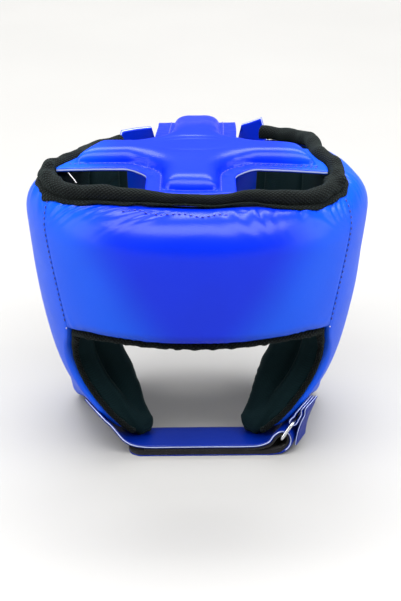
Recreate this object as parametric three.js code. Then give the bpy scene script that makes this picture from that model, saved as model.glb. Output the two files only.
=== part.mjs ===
// Boxing head guard: a padded and lined wall round the head with two cheek flaps, a padded crown cross
// over the open top, a strap that closes the back and a chin strap that folds back through a steel ring.
// Millimetres, +Z up. The face looks along -Y and the wearer's left is +X. The guard stands on its chin
// strap and on the lowest lobes of its two cheek pads, below the ears.

import * as THREE from "three";

// Driving dimensions

const SKIN_TO_LINING = 15; // depth of the outer foam pads
const WALL_DEPTH = 24; // from the outer skin to the face of the lining
const EDGE_THICKNESS = 1.8; // what is left of a pad or a lining at its sewn edges
const SEWN_GAP = 0.4; // clearance between pieces that are sewn together
const LEVEL_CUT = 0.3; // share of the wall's slope that its edges are cut with; none would cut them level
const SEAM_DEG = 0.25; // half the clearance at an upright seam, round the head

const FACE_SEAM_FOOT_Z = 92.5; // lowest point of the two temple seams
const BROW_ARCH = 6; // rise of the forehead's lower edge in the middle
const BACK_SEAM_DEG = 121; // upright seam between a cheek pad and a rear pad
const REAR_END_DEG = { left: 150.5, right: 147 }; // where a rear pad stops, short of the middle of the back

const TOP_BINDING_RADIUS = 4.6;
const FACE_BINDING_RADIUS = 2.6;

const CHEEK_SWELL = 7; // how much fuller the lining of a cheek flap is
const CHEEK_THINNER = 4; // how much thinner it is below the ear
const CHEEK_SAG = 10.5; // how much lower that lining hangs at its inner side, over the chin strap

const CROWN_HALF = 26; // half width of a crown arm over its sewn flanges
const CROWN_PAD_HALF = 16.5; // half width of the padded core of an arm
const CROWN_PAD_RISE = 8;
const CROWN_SHEET = 2.4;
const CROWN_FILLET = 12; // round inner corners between the arms
const CROWN_MIDDLE_Y = -10;

const STRAP_FRONT_Y = -54.5;
const STRAP_REAR_Y = -30.5;
const STRAP_SHEET = 1.8;
const STRAP_PILE = 1.4; // hook-and-loop facing sewn to the strap
const TAB_SHEET = 1.4;
const REAR_STRAP_SHEET = 2.6;

const RING_WIRE_RADIUS = 1.3;
const RING_TOP = { x: 59.5, z: 23.4 }; // front end of the bar that the tab holds
const RING_FOOT = { x: 53, z: 12 }; // front end of the bar that the chin strap goes round
const FLAP_SLANT = 0.45; // how far the flap's side, and all that hangs on it, turns outwards to the rear

const MIDDLE_Y = 5.2; // the tables count Y from the middle of the head; the part's box has its middle there

// Tables of the wall's shape

// Outer face of the wall, a row for each level: half width over the cheeks and behind the ears (nape),
// and reach to the front and to the rear of the middle axis.
const LEVELS = [
  { z: -6, side: 32, nape: 88, front: 82, rear: 86 },
  { z: 0, side: 40, nape: 89, front: 85, rear: 87 },
  { z: 8, side: 49.5, nape: 89.5, front: 88, rear: 89 },
  { z: 16, side: 59, nape: 90, front: 90, rear: 91 },
  { z: 26, side: 70.5, nape: 90.5, front: 91.5, rear: 93 },
  { z: 38, side: 80.5, nape: 91.5, front: 92.5, rear: 96 },
  { z: 50, side: 87.5, nape: 92.5, front: 93.5, rear: 98 },
  { z: 66, side: 93.5, nape: 95, front: 95, rear: 100 },
  { z: 84, side: 98, nape: 98, front: 97, rear: 102 },
  { z: 105, side: 101.5, nape: 101, front: 100.5, rear: 103 },
  { z: 128, side: 104, nape: 103.5, front: 103.5, rear: 103 },
  { z: 150, side: 106.5, nape: 105, front: 105, rear: 102 },
  { z: 170, side: 108, nape: 104, front: 104.5, rear: 100 },
  { z: 190, side: 108, nape: 100, front: 102, rear: 96 },
];

// Temple seam and, below it, the front edge of a cheek flap: angle from the face at each level.
const FRONT_EDGE = [
  { z: 14.3, deg: 59 },
  { z: 19, deg: 57.2 },
  { z: 26, deg: 56.4 },
  { z: 36, deg: 57.6 },
  { z: 50, deg: 60 },
  { z: 64, deg: 60.6 },
  { z: 76, deg: 58 },
  { z: 86, deg: 54.4 },
  { z: 96, deg: 52.8 },
  { z: 113, deg: 53.8 },
  { z: 132, deg: 55.6 },
  { z: 158, deg: 57 },
  { z: 181, deg: 57.4 },
];

// Lower edge of the cheek flaps and the rear pads, from the flap's tip round to the back.
const HEM = [
  { deg: 55, z: 14.3 },
  { deg: 66, z: 14.3 },
  { deg: 76, z: 13.5 },
  { deg: 86, z: 12 },
  { deg: 95, z: 8.5 },
  { deg: 103, z: 3 },
  { deg: 110, z: 0.15 },
  { deg: 118, z: 0.15 },
  { deg: 122, z: 7 },
  { deg: 128, z: 27 },
  { deg: 134, z: 42 },
  { deg: 141, z: 47 },
  { deg: 152, z: 48 },
];

// Upper edge of the wall: its height, and how deep under the outer face the skin has rolled in there. The
// guard has been squeezed a little, so its two sides differ.
const RIM = [
  { deg: 0, left: 178, right: 178, leftIn: 22, rightIn: 22 },
  { deg: 20, left: 177.6, right: 178, leftIn: 21.5, rightIn: 22 },
  { deg: 34, left: 175, right: 177, leftIn: 16.5, rightIn: 19.5 },
  { deg: 45, left: 173, right: 175.2, leftIn: 13, rightIn: 15.5 },
  { deg: 53, left: 173.3, right: 174.6, leftIn: 13, rightIn: 12 },
  { deg: 62, left: 175.5, right: 175.2, leftIn: 15.5, rightIn: 10.5 },
  { deg: 74, left: 178.3, right: 176.6, leftIn: 21, rightIn: 13.5 },
  { deg: 84, left: 178.5, right: 176.8, leftIn: 27, rightIn: 24 },
  { deg: 94, left: 178, right: 175.8, leftIn: 29, rightIn: 31 },
  { deg: 106, left: 178, right: 172.8, leftIn: 26, rightIn: 30 },
  { deg: 121, left: 175.5, right: 168, leftIn: 20, rightIn: 23 },
  { deg: 140, left: 171, right: 164.5, leftIn: 15, rightIn: 15 },
  { deg: 152, left: 168, right: 163, leftIn: 13, rightIn: 13 },
];

// How an edge of a panel rounds off, as [width, drop]: the skin and the lining drop into the wall there,
// and the split between the two comes closer to the skin.
const ROLL = {
  brow: { skin: [8, 6], split: [12, 6], lining: [10, 6] },
  flap: { skin: [5, 4], split: [14, 8.5], lining: [10, 6] },
  hem: { skin: [10, 8], split: [12, 5], lining: [10, 6] },
  back: { skin: [10, 8], split: [12, 4], lining: [10, 6] },
  seam: { skin: [7, 1.4], split: [10, 0], lining: [6, 2] },
};

// Middle line of the crown's sheet from the forehead over the head and down the back.
const CROWN_ROUTE = [
  { y: -82, z: 182.5 },
  { y: -45, z: 183 },
  { y: -10, z: 184 },
  { y: 30, z: 183.5 },
  { y: 66, z: 179 },
  { y: 86, z: 176 },
  { y: 97, z: 173.5 },
  { y: 104.8, z: 168.5 },
  { y: 108.2, z: 158.5 },
  { y: 109, z: 144 },
  { y: 109.4, z: 114 },
];

// Chin strap from the right cheek, across under the chin, over the ring's lower bar and back below.
// Rows with no x lie on the outside of the cheek flap; x is that of the strap's front edge.
const STRAP_ROUTE = [
  { z: 28 },
  { z: 25 },
  { z: 21.5 },
  { x: -51.5, z: 16, slant: -0.42 },
  { x: -48, z: 11.4, slant: -0.38 },
  { x: -42.5, z: 7.6, slant: -0.3 },
  { x: -34, z: 5.8, slant: -0.15 },
  { x: -16, z: 5.6, slant: 0 },
  { x: 10, z: 5.6, slant: 0 },
  { x: 30, z: 5.6, slant: 0.15 },
  { x: 39, z: 6.2, slant: 0.3 },
  { x: 45.5, z: 9, slant: FLAP_SLANT },
  { x: 48.6, z: 13.6, slant: FLAP_SLANT },
  { x: 52.4, z: 16.2, slant: FLAP_SLANT },
  { x: 56.2, z: 15.2, slant: FLAP_SLANT },
  { x: 57.8, z: 11.4, slant: FLAP_SLANT },
  { x: 57, z: 7.2, slant: FLAP_SLANT },
  { x: 53, z: 3.4, slant: 0.3 },
  { x: 45, z: 1.8, slant: 0.15 },
  { x: 37, z: 1.8, slant: 0 },
  { x: 22, z: 1.8, slant: 0 },
  { x: 0, z: 1.8, slant: 0 },
  { x: -22, z: 1.8, slant: 0 },
  { x: -36, z: 1.8, slant: 0 },
  { x: -44.5, z: 1.8, slant: 0 },
];
const STRAP_PILE_START = 6; // first row that carries the pile

// Tab that loops through the ring's upper bar; both of its ends are sewn to the left cheek flap.
// off is the distance from the flap's outside, x is that of the tab's front edge.
const TAB_ROUTE = [
  { z: 34, off: 1.3 },
  { z: 31.8, off: 1.3 },
  { z: 29.4, off: 1.3 },
  { x: 59.6, z: 27 },
  { x: 57.6, z: 25 },
  { x: 57, z: 23 },
  { x: 58, z: 21.2 },
  { x: 59.9, z: 20.8 },
  { x: 61.5, z: 22.2 },
  { x: 62.6, z: 24.8 },
  { x: 64.2, z: 28.2 },
  { z: 31.4, off: 3.3 },
  { z: 33.6, off: 3.1 },
];

// Free end of the tab, hanging down outside the flap.
const TAIL_ROUTE = [
  { z: 33.6, off: 5 },
  { z: 31.4, off: 5.6 },
  { x: 66.4, z: 28 },
  { x: 64.4, z: 23 },
  { x: 62.4, z: 16 },
  { x: 61.6, z: 11 },
  { x: 61.2, z: 6.6 },
];

// Cell borders of the pads' meshes as shares of a side, closer together where an edge rolls over.
const SHARES = {
  forehead_along: [0, 0.02, 0.06, 0.15, 0.27, 0.39, 0.5, 0.61, 0.73, 0.85, 0.94, 0.98, 1],
  forehead_up: [0, 0.03, 0.07, 0.14, 0.3, 0.5, 0.68, 0.8, 0.88, 0.94, 0.98, 1],
  cheek_along: [0, 0.03, 0.08, 0.18, 0.34, 0.5, 0.66, 0.82, 0.94, 1],
  cheek_up: [0, 0.02, 0.045, 0.08, 0.15, 0.25, 0.31, 0.37, 0.44, 0.52, 0.66, 0.79, 0.88, 0.93, 0.965, 0.99, 1],
  rear_along: [0, 0.07, 0.2, 0.4, 0.6, 0.8, 0.93, 1],
  wall_up: [0, 0.02, 0.045, 0.08, 0.15, 0.25, 0.38, 0.52, 0.66, 0.79, 0.88, 0.93, 0.965, 0.99, 1],
};

const VINYL = new THREE.MeshStandardMaterial({ color: 0x0b3fe0, roughness: 0.32, metalness: 0 });
const MESH_LINING = new THREE.MeshStandardMaterial({ color: 0x0c1a1e, roughness: 0.95, metalness: 0 });
const BINDING = new THREE.MeshStandardMaterial({ color: 0x121614, roughness: 0.9, metalness: 0 });
const PILE = new THREE.MeshStandardMaterial({ color: 0x08080a, roughness: 1, metalness: 0 });
const STEEL = new THREE.MeshStandardMaterial({ color: 0xd8dade, roughness: 0.25, metalness: 1 });

// Reading the tables

const lerp = THREE.MathUtils.lerp;
const radians = THREE.MathUtils.degToRad;

// A smooth curve through one column of a table, as a function of another column.
function column(rows, key, name) {
  const slope = (i) => {
    const before = rows[Math.max(0, i - 1)];
    const after = rows[Math.min(rows.length - 1, i + 1)];
    return (after[name] - before[name]) / (after[key] - before[key]);
  };
  return (at) => {
    let i = 0;
    while (i < rows.length - 2 && at > rows[i + 1][key]) i += 1;
    const span = rows[i + 1][key] - rows[i][key];
    const k = THREE.MathUtils.clamp((at - rows[i][key]) / span, 0, 1);
    const rise = rows[i + 1][name] - rows[i][name];
    const bend0 = slope(i) * span - rise;
    const bend1 = rise - slope(i + 1) * span;
    return rows[i][name] + k * rise + k * (1 - k) * ((1 - k) * bend0 + k * bend1);
  };
}

const sideAt = column(LEVELS, "z", "side");
const napeAt = column(LEVELS, "z", "nape");
const frontAt = column(LEVELS, "z", "front");
const rearAt = column(LEVELS, "z", "rear");
const frontEdgeDeg = column(FRONT_EDGE, "z", "deg");
const hemZ = column(HEM, "deg", "z");
const RIMS = {
  left: { z: column(RIM, "deg", "left"), deep: column(RIM, "deg", "leftIn"), endDeg: REAR_END_DEG.left },
  right: { z: column(RIM, "deg", "right"), deep: column(RIM, "deg", "rightIn"), endDeg: REAR_END_DEG.right },
};

// The wall's outer face

// Point of the outer face at an angle from the face (towards +X) and a level.
function wallPoint(deg, z) {
  const behind = THREE.MathUtils.smoothstep(Math.abs(deg), 60, 112);
  const half = lerp(sideAt(z), napeAt(z), behind);
  const reach = Math.abs(deg) < 90 ? frontAt(z) : rearAt(z);
  const turn = radians(deg);
  return new THREE.Vector3(half * Math.sin(turn), -reach * Math.cos(turn), z);
}

function wallNormal(deg, z) {
  const step = 0.6;
  const round = wallPoint(deg + step, z).sub(wallPoint(deg - step, z));
  const up = wallPoint(deg, z + step).sub(wallPoint(deg, z - step));
  const normal = round.cross(up).normalize();
  normal.z *= LEVEL_CUT;
  return normal.normalize();
}

function wallDepth(deg, z, depth) {
  return wallPoint(deg, z).addScaledVector(wallNormal(deg, z), -depth);
}

// Half width of the outer face in front of the ears at a level and a distance along Y.
function cheekHalfWidth(y, z) {
  return wallPoint(THREE.MathUtils.radToDeg(Math.acos(-y / frontAt(z))), z).x;
}

// Solids from grids

function geometryOf(points, triangles) {
  const geometry = new THREE.BufferGeometry();
  geometry.setAttribute("position", new THREE.Float32BufferAttribute(points.flatMap((p) => p.toArray()), 3));
  geometry.setIndex(triangles.flat());
  geometry.computeVertexNormals();
  return geometry;
}

// A sheet of triangles with a top and a bottom point for each of its corners, walled in along its border.
function slab(tops, bottoms, triangles) {
  const count = tops.length;
  const faces = [];
  const open = new Map();
  for (const [a, b, c] of triangles) {
    faces.push([a, b, c], [c + count, b + count, a + count]);
    for (const [from, to] of [[a, b], [b, c], [c, a]]) {
      if (!open.delete(`${to},${from}`)) open.set(`${from},${to}`, [from, to]);
    }
  }
  for (const [from, to] of open.values()) {
    faces.push([from, from + count, to + count], [from, to + count, to]);
  }
  return geometryOf([...tops, ...bottoms], faces);
}

// Triangles of a grid of points stored row by row.
function gridTriangles(across, along) {
  const triangles = [];
  for (let j = 0; j < along - 1; j += 1) {
    for (let i = 0; i < across - 1; i += 1) {
      const a = j * across + i;
      triangles.push([a, a + 1, a + across + 1], [a, a + across + 1, a + across]);
    }
  }
  return triangles;
}

// The same solid on the other side of the middle plane.
function mirrored(geometry) {
  const copy = geometry.clone();
  const place = copy.getAttribute("position");
  for (let i = 0; i < place.count; i += 1) place.setX(i, -place.getX(i));
  const index = Array.from(copy.index.array);
  for (let i = 0; i < index.length; i += 3) [index[i + 1], index[i + 2]] = [index[i + 2], index[i + 1]];
  copy.setIndex(index);
  copy.computeVertexNormals();
  return copy;
}

// Padded panels

// Fills the space between four border curves of (deg, z), by shares along and up.
function filled({ bottom, top, first, last }) {
  const mix = (name, s, t) => {
    const ruled = lerp(bottom(s)[name], top(s)[name], t) + lerp(first(t)[name], last(t)[name], s);
    const low = lerp(bottom(0)[name], bottom(1)[name], s);
    const high = lerp(top(0)[name], top(1)[name], s);
    return ruled - lerp(low, high, t);
  };
  return (s, t) => ({ deg: mix("deg", s, t), z: mix("z", s, t) });
}

// Every corner of a panel's grid, with its distance from each of the four borders.
function panelGrid(patch, along, up) {
  const corners = up.map((t) => along.map((s) => ({ ...patch(s, t), s, t })));
  for (const row of corners) for (const c of row) c.point = wallPoint(c.deg, c.z);
  const lengthTo = (points) => {
    const run = [0];
    for (let i = 1; i < points.length; i += 1) run.push(run[i - 1] + points[i].distanceTo(points[i - 1]));
    return run;
  };
  corners.forEach((row) => {
    const run = lengthTo(row.map((c) => c.point));
    row.forEach((c, i) => Object.assign(c, { first: run[i], last: run.at(-1) - run[i] }));
  });
  along.forEach((_, i) => {
    const run = lengthTo(corners.map((row) => row[i].point));
    corners.forEach((row, j) => Object.assign(row[i], { bottom: run[j], top: run.at(-1) - run[j] }));
  });
  return corners;
}

// How far a face drops at a corner: a quarter ellipse inwards from each border, of which the largest counts.
function rollDrop(corner, edges, layer) {
  const drops = Object.entries(edges).map(([side, kindAt]) => {
    const [width, drop] = kindAt(corner)[layer];
    const inwards = THREE.MathUtils.clamp(1 - corner[side] / width, 0, 1);
    return drop * (1 - Math.sqrt(1 - inwards ** 2));
  });
  return drops.reduce((most, drop) => (Math.abs(drop) > Math.abs(most) ? drop : most), 0);
}

// Foam pad with its skin, and the lining behind it, over the same panel of the wall.
function panel({ borders, along, up, edges, swell = () => 0, sag = () => 0 }) {
  const corners = panelGrid(filled(borders), along, up).flat();
  const at = (depthOf) => corners.map((c) => wallDepth(c.deg, c.z, depthOf(c)));
  const triangles = gridTriangles(along.length, up.length);
  const split = (c) => SKIN_TO_LINING - rollDrop(c, edges, "split");
  const skin = (c) => Math.min(rollDrop(c, edges, "skin"), split(c) - EDGE_THICKNESS);
  const back = (c) => split(c) + SEWN_GAP;
  const face = (c) => Math.max(WALL_DEPTH + swell(c) - rollDrop(c, edges, "lining"), back(c) + EDGE_THICKNESS);
  const pad = slab(at(skin), at(split), triangles);
  const inside = at(face).map((p, i) => p.setZ(p.z - sag(corners[i])));
  const lining = slab(at(back), inside, triangles);
  return { pad, lining };
}

const always = (kind) => () => kind;

// Border curves of the three kinds of panel. Those of the wearer's right side are drawn on the left and
// mirrored later, so they only take that side's rim.

const rimOf = (deg) => (deg < 0 ? RIMS.right : RIMS.left);
const rimZ = (deg) => rimOf(deg).z(Math.abs(deg));
const rimDeep = (deg) => rimOf(deg).deep(Math.abs(deg));
const TEMPLE_TOP_DEG = FRONT_EDGE.at(-1).deg;

const foreheadSide = (sign) => (t) => {
  const z = lerp(FACE_SEAM_FOOT_Z, rimZ(sign * TEMPLE_TOP_DEG), t);
  return { deg: sign * (frontEdgeDeg(z) - SEAM_DEG), z };
};
const FOREHEAD_BORDERS = {
  bottom: (s) => {
    const deg = lerp(-1, 1, s) * (frontEdgeDeg(FACE_SEAM_FOOT_Z) - SEAM_DEG);
    return { deg, z: FACE_SEAM_FOOT_Z + BROW_ARCH * (1 - lerp(-1, 1, s) ** 2) };
  },
  top: (s) => {
    const deg = lerp(foreheadSide(-1)(1).deg, foreheadSide(1)(1).deg, s);
    return { deg, z: lerp(rimZ(deg), lerp(foreheadSide(-1)(1).z, foreheadSide(1)(1).z, s), (2 * s - 1) ** 16) };
  },
  first: foreheadSide(-1),
  last: foreheadSide(1),
};

const CHEEK_TIP_Z = FRONT_EDGE[0].z;
const cheekBorders = (rim) => {
  const backDeg = BACK_SEAM_DEG - SEAM_DEG;
  const front = (t) => {
    const z = lerp(CHEEK_TIP_Z, rim.z(TEMPLE_TOP_DEG), t);
    return { deg: frontEdgeDeg(z) + SEAM_DEG, z };
  };
  return {
    bottom: (s) => {
      const deg = lerp(front(0).deg, backDeg, s);
      return { deg, z: lerp(front(0).z, hemZ(deg), Math.min(1, s * 12)) };
    },
    top: (s) => {
      const deg = lerp(front(1).deg, backDeg, s);
      return { deg, z: lerp(front(1).z, rim.z(deg), Math.min(1, s * 12)) };
    },
    first: front,
    last: (t) => ({ deg: backDeg, z: lerp(hemZ(backDeg), rim.z(backDeg), t) }),
  };
};

const rearBorders = (rim) => {
  const fromDeg = BACK_SEAM_DEG + SEAM_DEG;
  const upright = (deg) => (t) => ({ deg, z: lerp(hemZ(deg), rim.z(deg), t) });
  const level = (heightAt) => (s) => {
    const deg = lerp(fromDeg, rim.endDeg, s);
    return { deg, z: heightAt(deg) };
  };
  return { bottom: level(hemZ), top: level(rim.z), first: upright(fromDeg), last: upright(rim.endDeg) };
};

// Above the face opening the front edge of a cheek pad is a seam, below it a free edge.
const cheekFront = (corner) => (corner.z > FACE_SEAM_FOOT_Z ? ROLL.seam : ROLL.flap);

const seam = always(ROLL.seam);
const hem = always(ROLL.hem);

// The lining of a flap is fullest a little behind its front edge, and sags towards the flap's tip.
const smooth = THREE.MathUtils.smoothstep;
const cheekSwell = ({ z, first, deg }) => {
  const level = smooth(z, 22, 48) * (1 - smooth(z, 78, 112));
  const thinner = CHEEK_THINNER * smooth(deg, 90, 106) * (1 - smooth(z, 50, 90));
  return CHEEK_SWELL * level * smooth(first, 0, 10) * (1 - smooth(deg, 74, 104)) - thinner;
};
const cheekSag = ({ bottom, first, deg }) => {
  const level = (1 - smooth(bottom, 0, 26)) * (1 - smooth(deg, 64, 90));
  return CHEEK_SAG * level * lerp(0.5, 1, smooth(first, 0, 9));
};

// Under the rim the skin rolls in as deep as the table says, with the lining behind it.
const rimRoll = (deep) => ({
  skin: [24, deep - 2.6],
  split: [20, SKIN_TO_LINING - (deep - 0.6)],
  lining: [16, WALL_DEPTH - (deep + 2.6)],
});
const top = (rim) => (corner) => rimRoll(rim.deep(corner.deg));

const forehead = panel({
  borders: FOREHEAD_BORDERS,
  along: SHARES.forehead_along,
  up: SHARES.forehead_up,
  edges: { first: seam, last: seam, bottom: always(ROLL.brow), top: (c) => rimRoll(rimDeep(c.deg)) },
});
const cheek = (rim) => panel({
  borders: cheekBorders(rim),
  along: SHARES.cheek_along,
  up: SHARES.cheek_up,
  edges: { first: cheekFront, last: seam, bottom: hem, top: top(rim) },
  swell: cheekSwell,
  sag: cheekSag,
});
const rear = (rim) => panel({
  borders: rearBorders(rim),
  along: SHARES.rear_along,
  up: SHARES.wall_up,
  edges: { first: seam, last: always(ROLL.back), bottom: hem, top: top(rim) },
});

// Edge bindings

function roundSection(radius, sides) {
  const corners = Array.from({ length: sides }, (_, i) => {
    const turn = (2 * Math.PI * i) / sides;
    return new THREE.Vector2(radius * Math.cos(turn), radius * Math.sin(turn));
  });
  return new THREE.Shape(corners);
}

function tube(points, radius, sides, steps) {
  const extrudePath = new THREE.CatmullRomCurve3(points, false, "centripetal");
  return new THREE.ExtrudeGeometry(roundSection(radius, sides), { steps, extrudePath });
}

// Middle line of the knitted roll along the rim, at an angle from the face.
function rimLine(deg) {
  const edge = wallDepth(deg, rimZ(deg), rimDeep(deg));
  return edge.setZ(rimZ(deg) + TOP_BINDING_RADIUS + SEWN_GAP);
}

// The roll runs from the end of one rear pad round the front to the end of the other.
function topBinding() {
  const count = 88;
  const degAt = (i) => lerp(-REAR_END_DEG.right, REAR_END_DEG.left, i / count);
  const line = Array.from({ length: count + 1 }, (_, i) => rimLine(degAt(i)));
  return tube(line, TOP_BINDING_RADIUS, 8, 72);
}

// Narrow roll round the face opening and along the lower edges of the cheek flaps.
function faceBinding() {
  const clear = FACE_BINDING_RADIUS + 1.7;
  const cheekPatch = filled(cheekBorders(RIMS.left));
  const foreheadPatch = filled(FOREHEAD_BORDERS);
  const beside = (patch, s, t, ds, dt, depth) => {
    const at = (k) => {
      const { deg, z } = patch(s + k * ds, t + k * dt);
      return wallDepth(deg, z, depth);
    };
    const edge = at(0);
    return edge.clone().addScaledVector(edge.clone().sub(at(0.02)).normalize(), clear);
  };
  const browDepth = SKIN_TO_LINING - ROLL.brow.split[1];
  const flapDepth = SKIN_TO_LINING - ROLL.flap.split[1];
  const hemDepth = ROLL.hem.skin[1] - 1.5;
  const shares = (from, to, count) => Array.from({ length: count }, (_, i) => lerp(from, to, i / (count - 1)));
  const brow = shares(0.5, 0.97, 9).map((s) => beside(foreheadPatch, s, 0, 0, 1, browDepth));
  const flap = shares(0.47, 0.03, 14).map((t) => beside(cheekPatch, 0, t, 1, 0, flapDepth));
  const tip = [
    beside(cheekPatch, 0, 0, 1, 0, flapDepth).add(beside(cheekPatch, 0, 0, 0, 1, flapDepth)),
    wallDepth(cheekPatch(0, 0).deg, cheekPatch(0, 0).z, flapDepth),
  ];
  const hemLine = shares(0.06, 0.5, 9).map((s) => beside(cheekPatch, s, 0, 0, 1, hemDepth));
  const half = [...brow, ...flap, tip[0].sub(tip[1]), ...hemLine];
  const other = half.slice(1).map((p) => p.clone().setX(-p.x)).reverse();
  return tube([...other, ...half], FACE_BINDING_RADIUS, 6, 100);
}

// Crown cross

const CROWN_CURVE = new THREE.CatmullRomCurve3(CROWN_ROUTE.map(({ y, z }) => new THREE.Vector3(0, y, z)));
CROWN_CURVE.arcLengthDivisions = 400;
const CROWN_LENGTH = CROWN_CURVE.getLength();

// Length along the crown's middle line at which it is above a given Y.
function crownLengthAt(y) {
  let low = 0;
  let high = 0.75;
  for (let i = 0; i < 40; i += 1) {
    const middle = (low + high) / 2;
    if (CROWN_CURVE.getPointAt(middle).y < y) low = middle;
    else high = middle;
  }
  return low * CROWN_LENGTH;
}

// Inner side of the top binding: half width at a distance along Y on either side, and front reach.
const RIM_CLEAR = TOP_BINDING_RADIUS + 0.8;
const RIM_STEPS = Array.from({ length: 100 }, (_, i) => lerp(1, 125, i / 99));
const rimInside = (sign) =>
  RIM_STEPS.map((deg) => {
    const ahead = rimLine(sign * (deg + 1)).sub(rimLine(sign * (deg - 1))).setZ(0).normalize();
    const point = rimLine(sign * deg);
    return { x: Math.abs(point.x - sign * ahead.y * RIM_CLEAR), y: point.y + sign * ahead.x * RIM_CLEAR };
  });
const RIM_SIDES = { 1: column(rimInside(1), "y", "x"), [-1]: column(rimInside(-1), "y", "x") };
const rimHalfAt = (sign, y) => RIM_SIDES[sign](y);
const rimFrontAt = column(rimInside(1), "x", "y");
const RIM_FRONT = -rimFrontAt(0);
const RIM_HALF = rimHalfAt(1, CROWN_MIDDLE_Y);

const CROWN_SKEW = { front: -4.5, rear: 1.5 }; // the cross is sewn in a little askew, off the middle in X
const CROWN_SIDE_WIDTH = 0.8; // width of the side arms as a share of the long arm's
const CROWN_SIDE_DROOP = 1.5; // how much lower the side arms end than they start
const CROWN_WRAP_FROM = crownLengthAt(92); // from here on the back arm follows the round of the head
const CROWN_WRAP_OVER = 30;
const CROWN_WRAP_RADIUS = 108;
const CROWN_PAD_END = 5; // the padded core stops this far short of an arm's end
const CROWN_PAD_ROLL = 14;
const CROWN_PAD_THINNING = 3; // the core is that much thinner down the back

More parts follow.
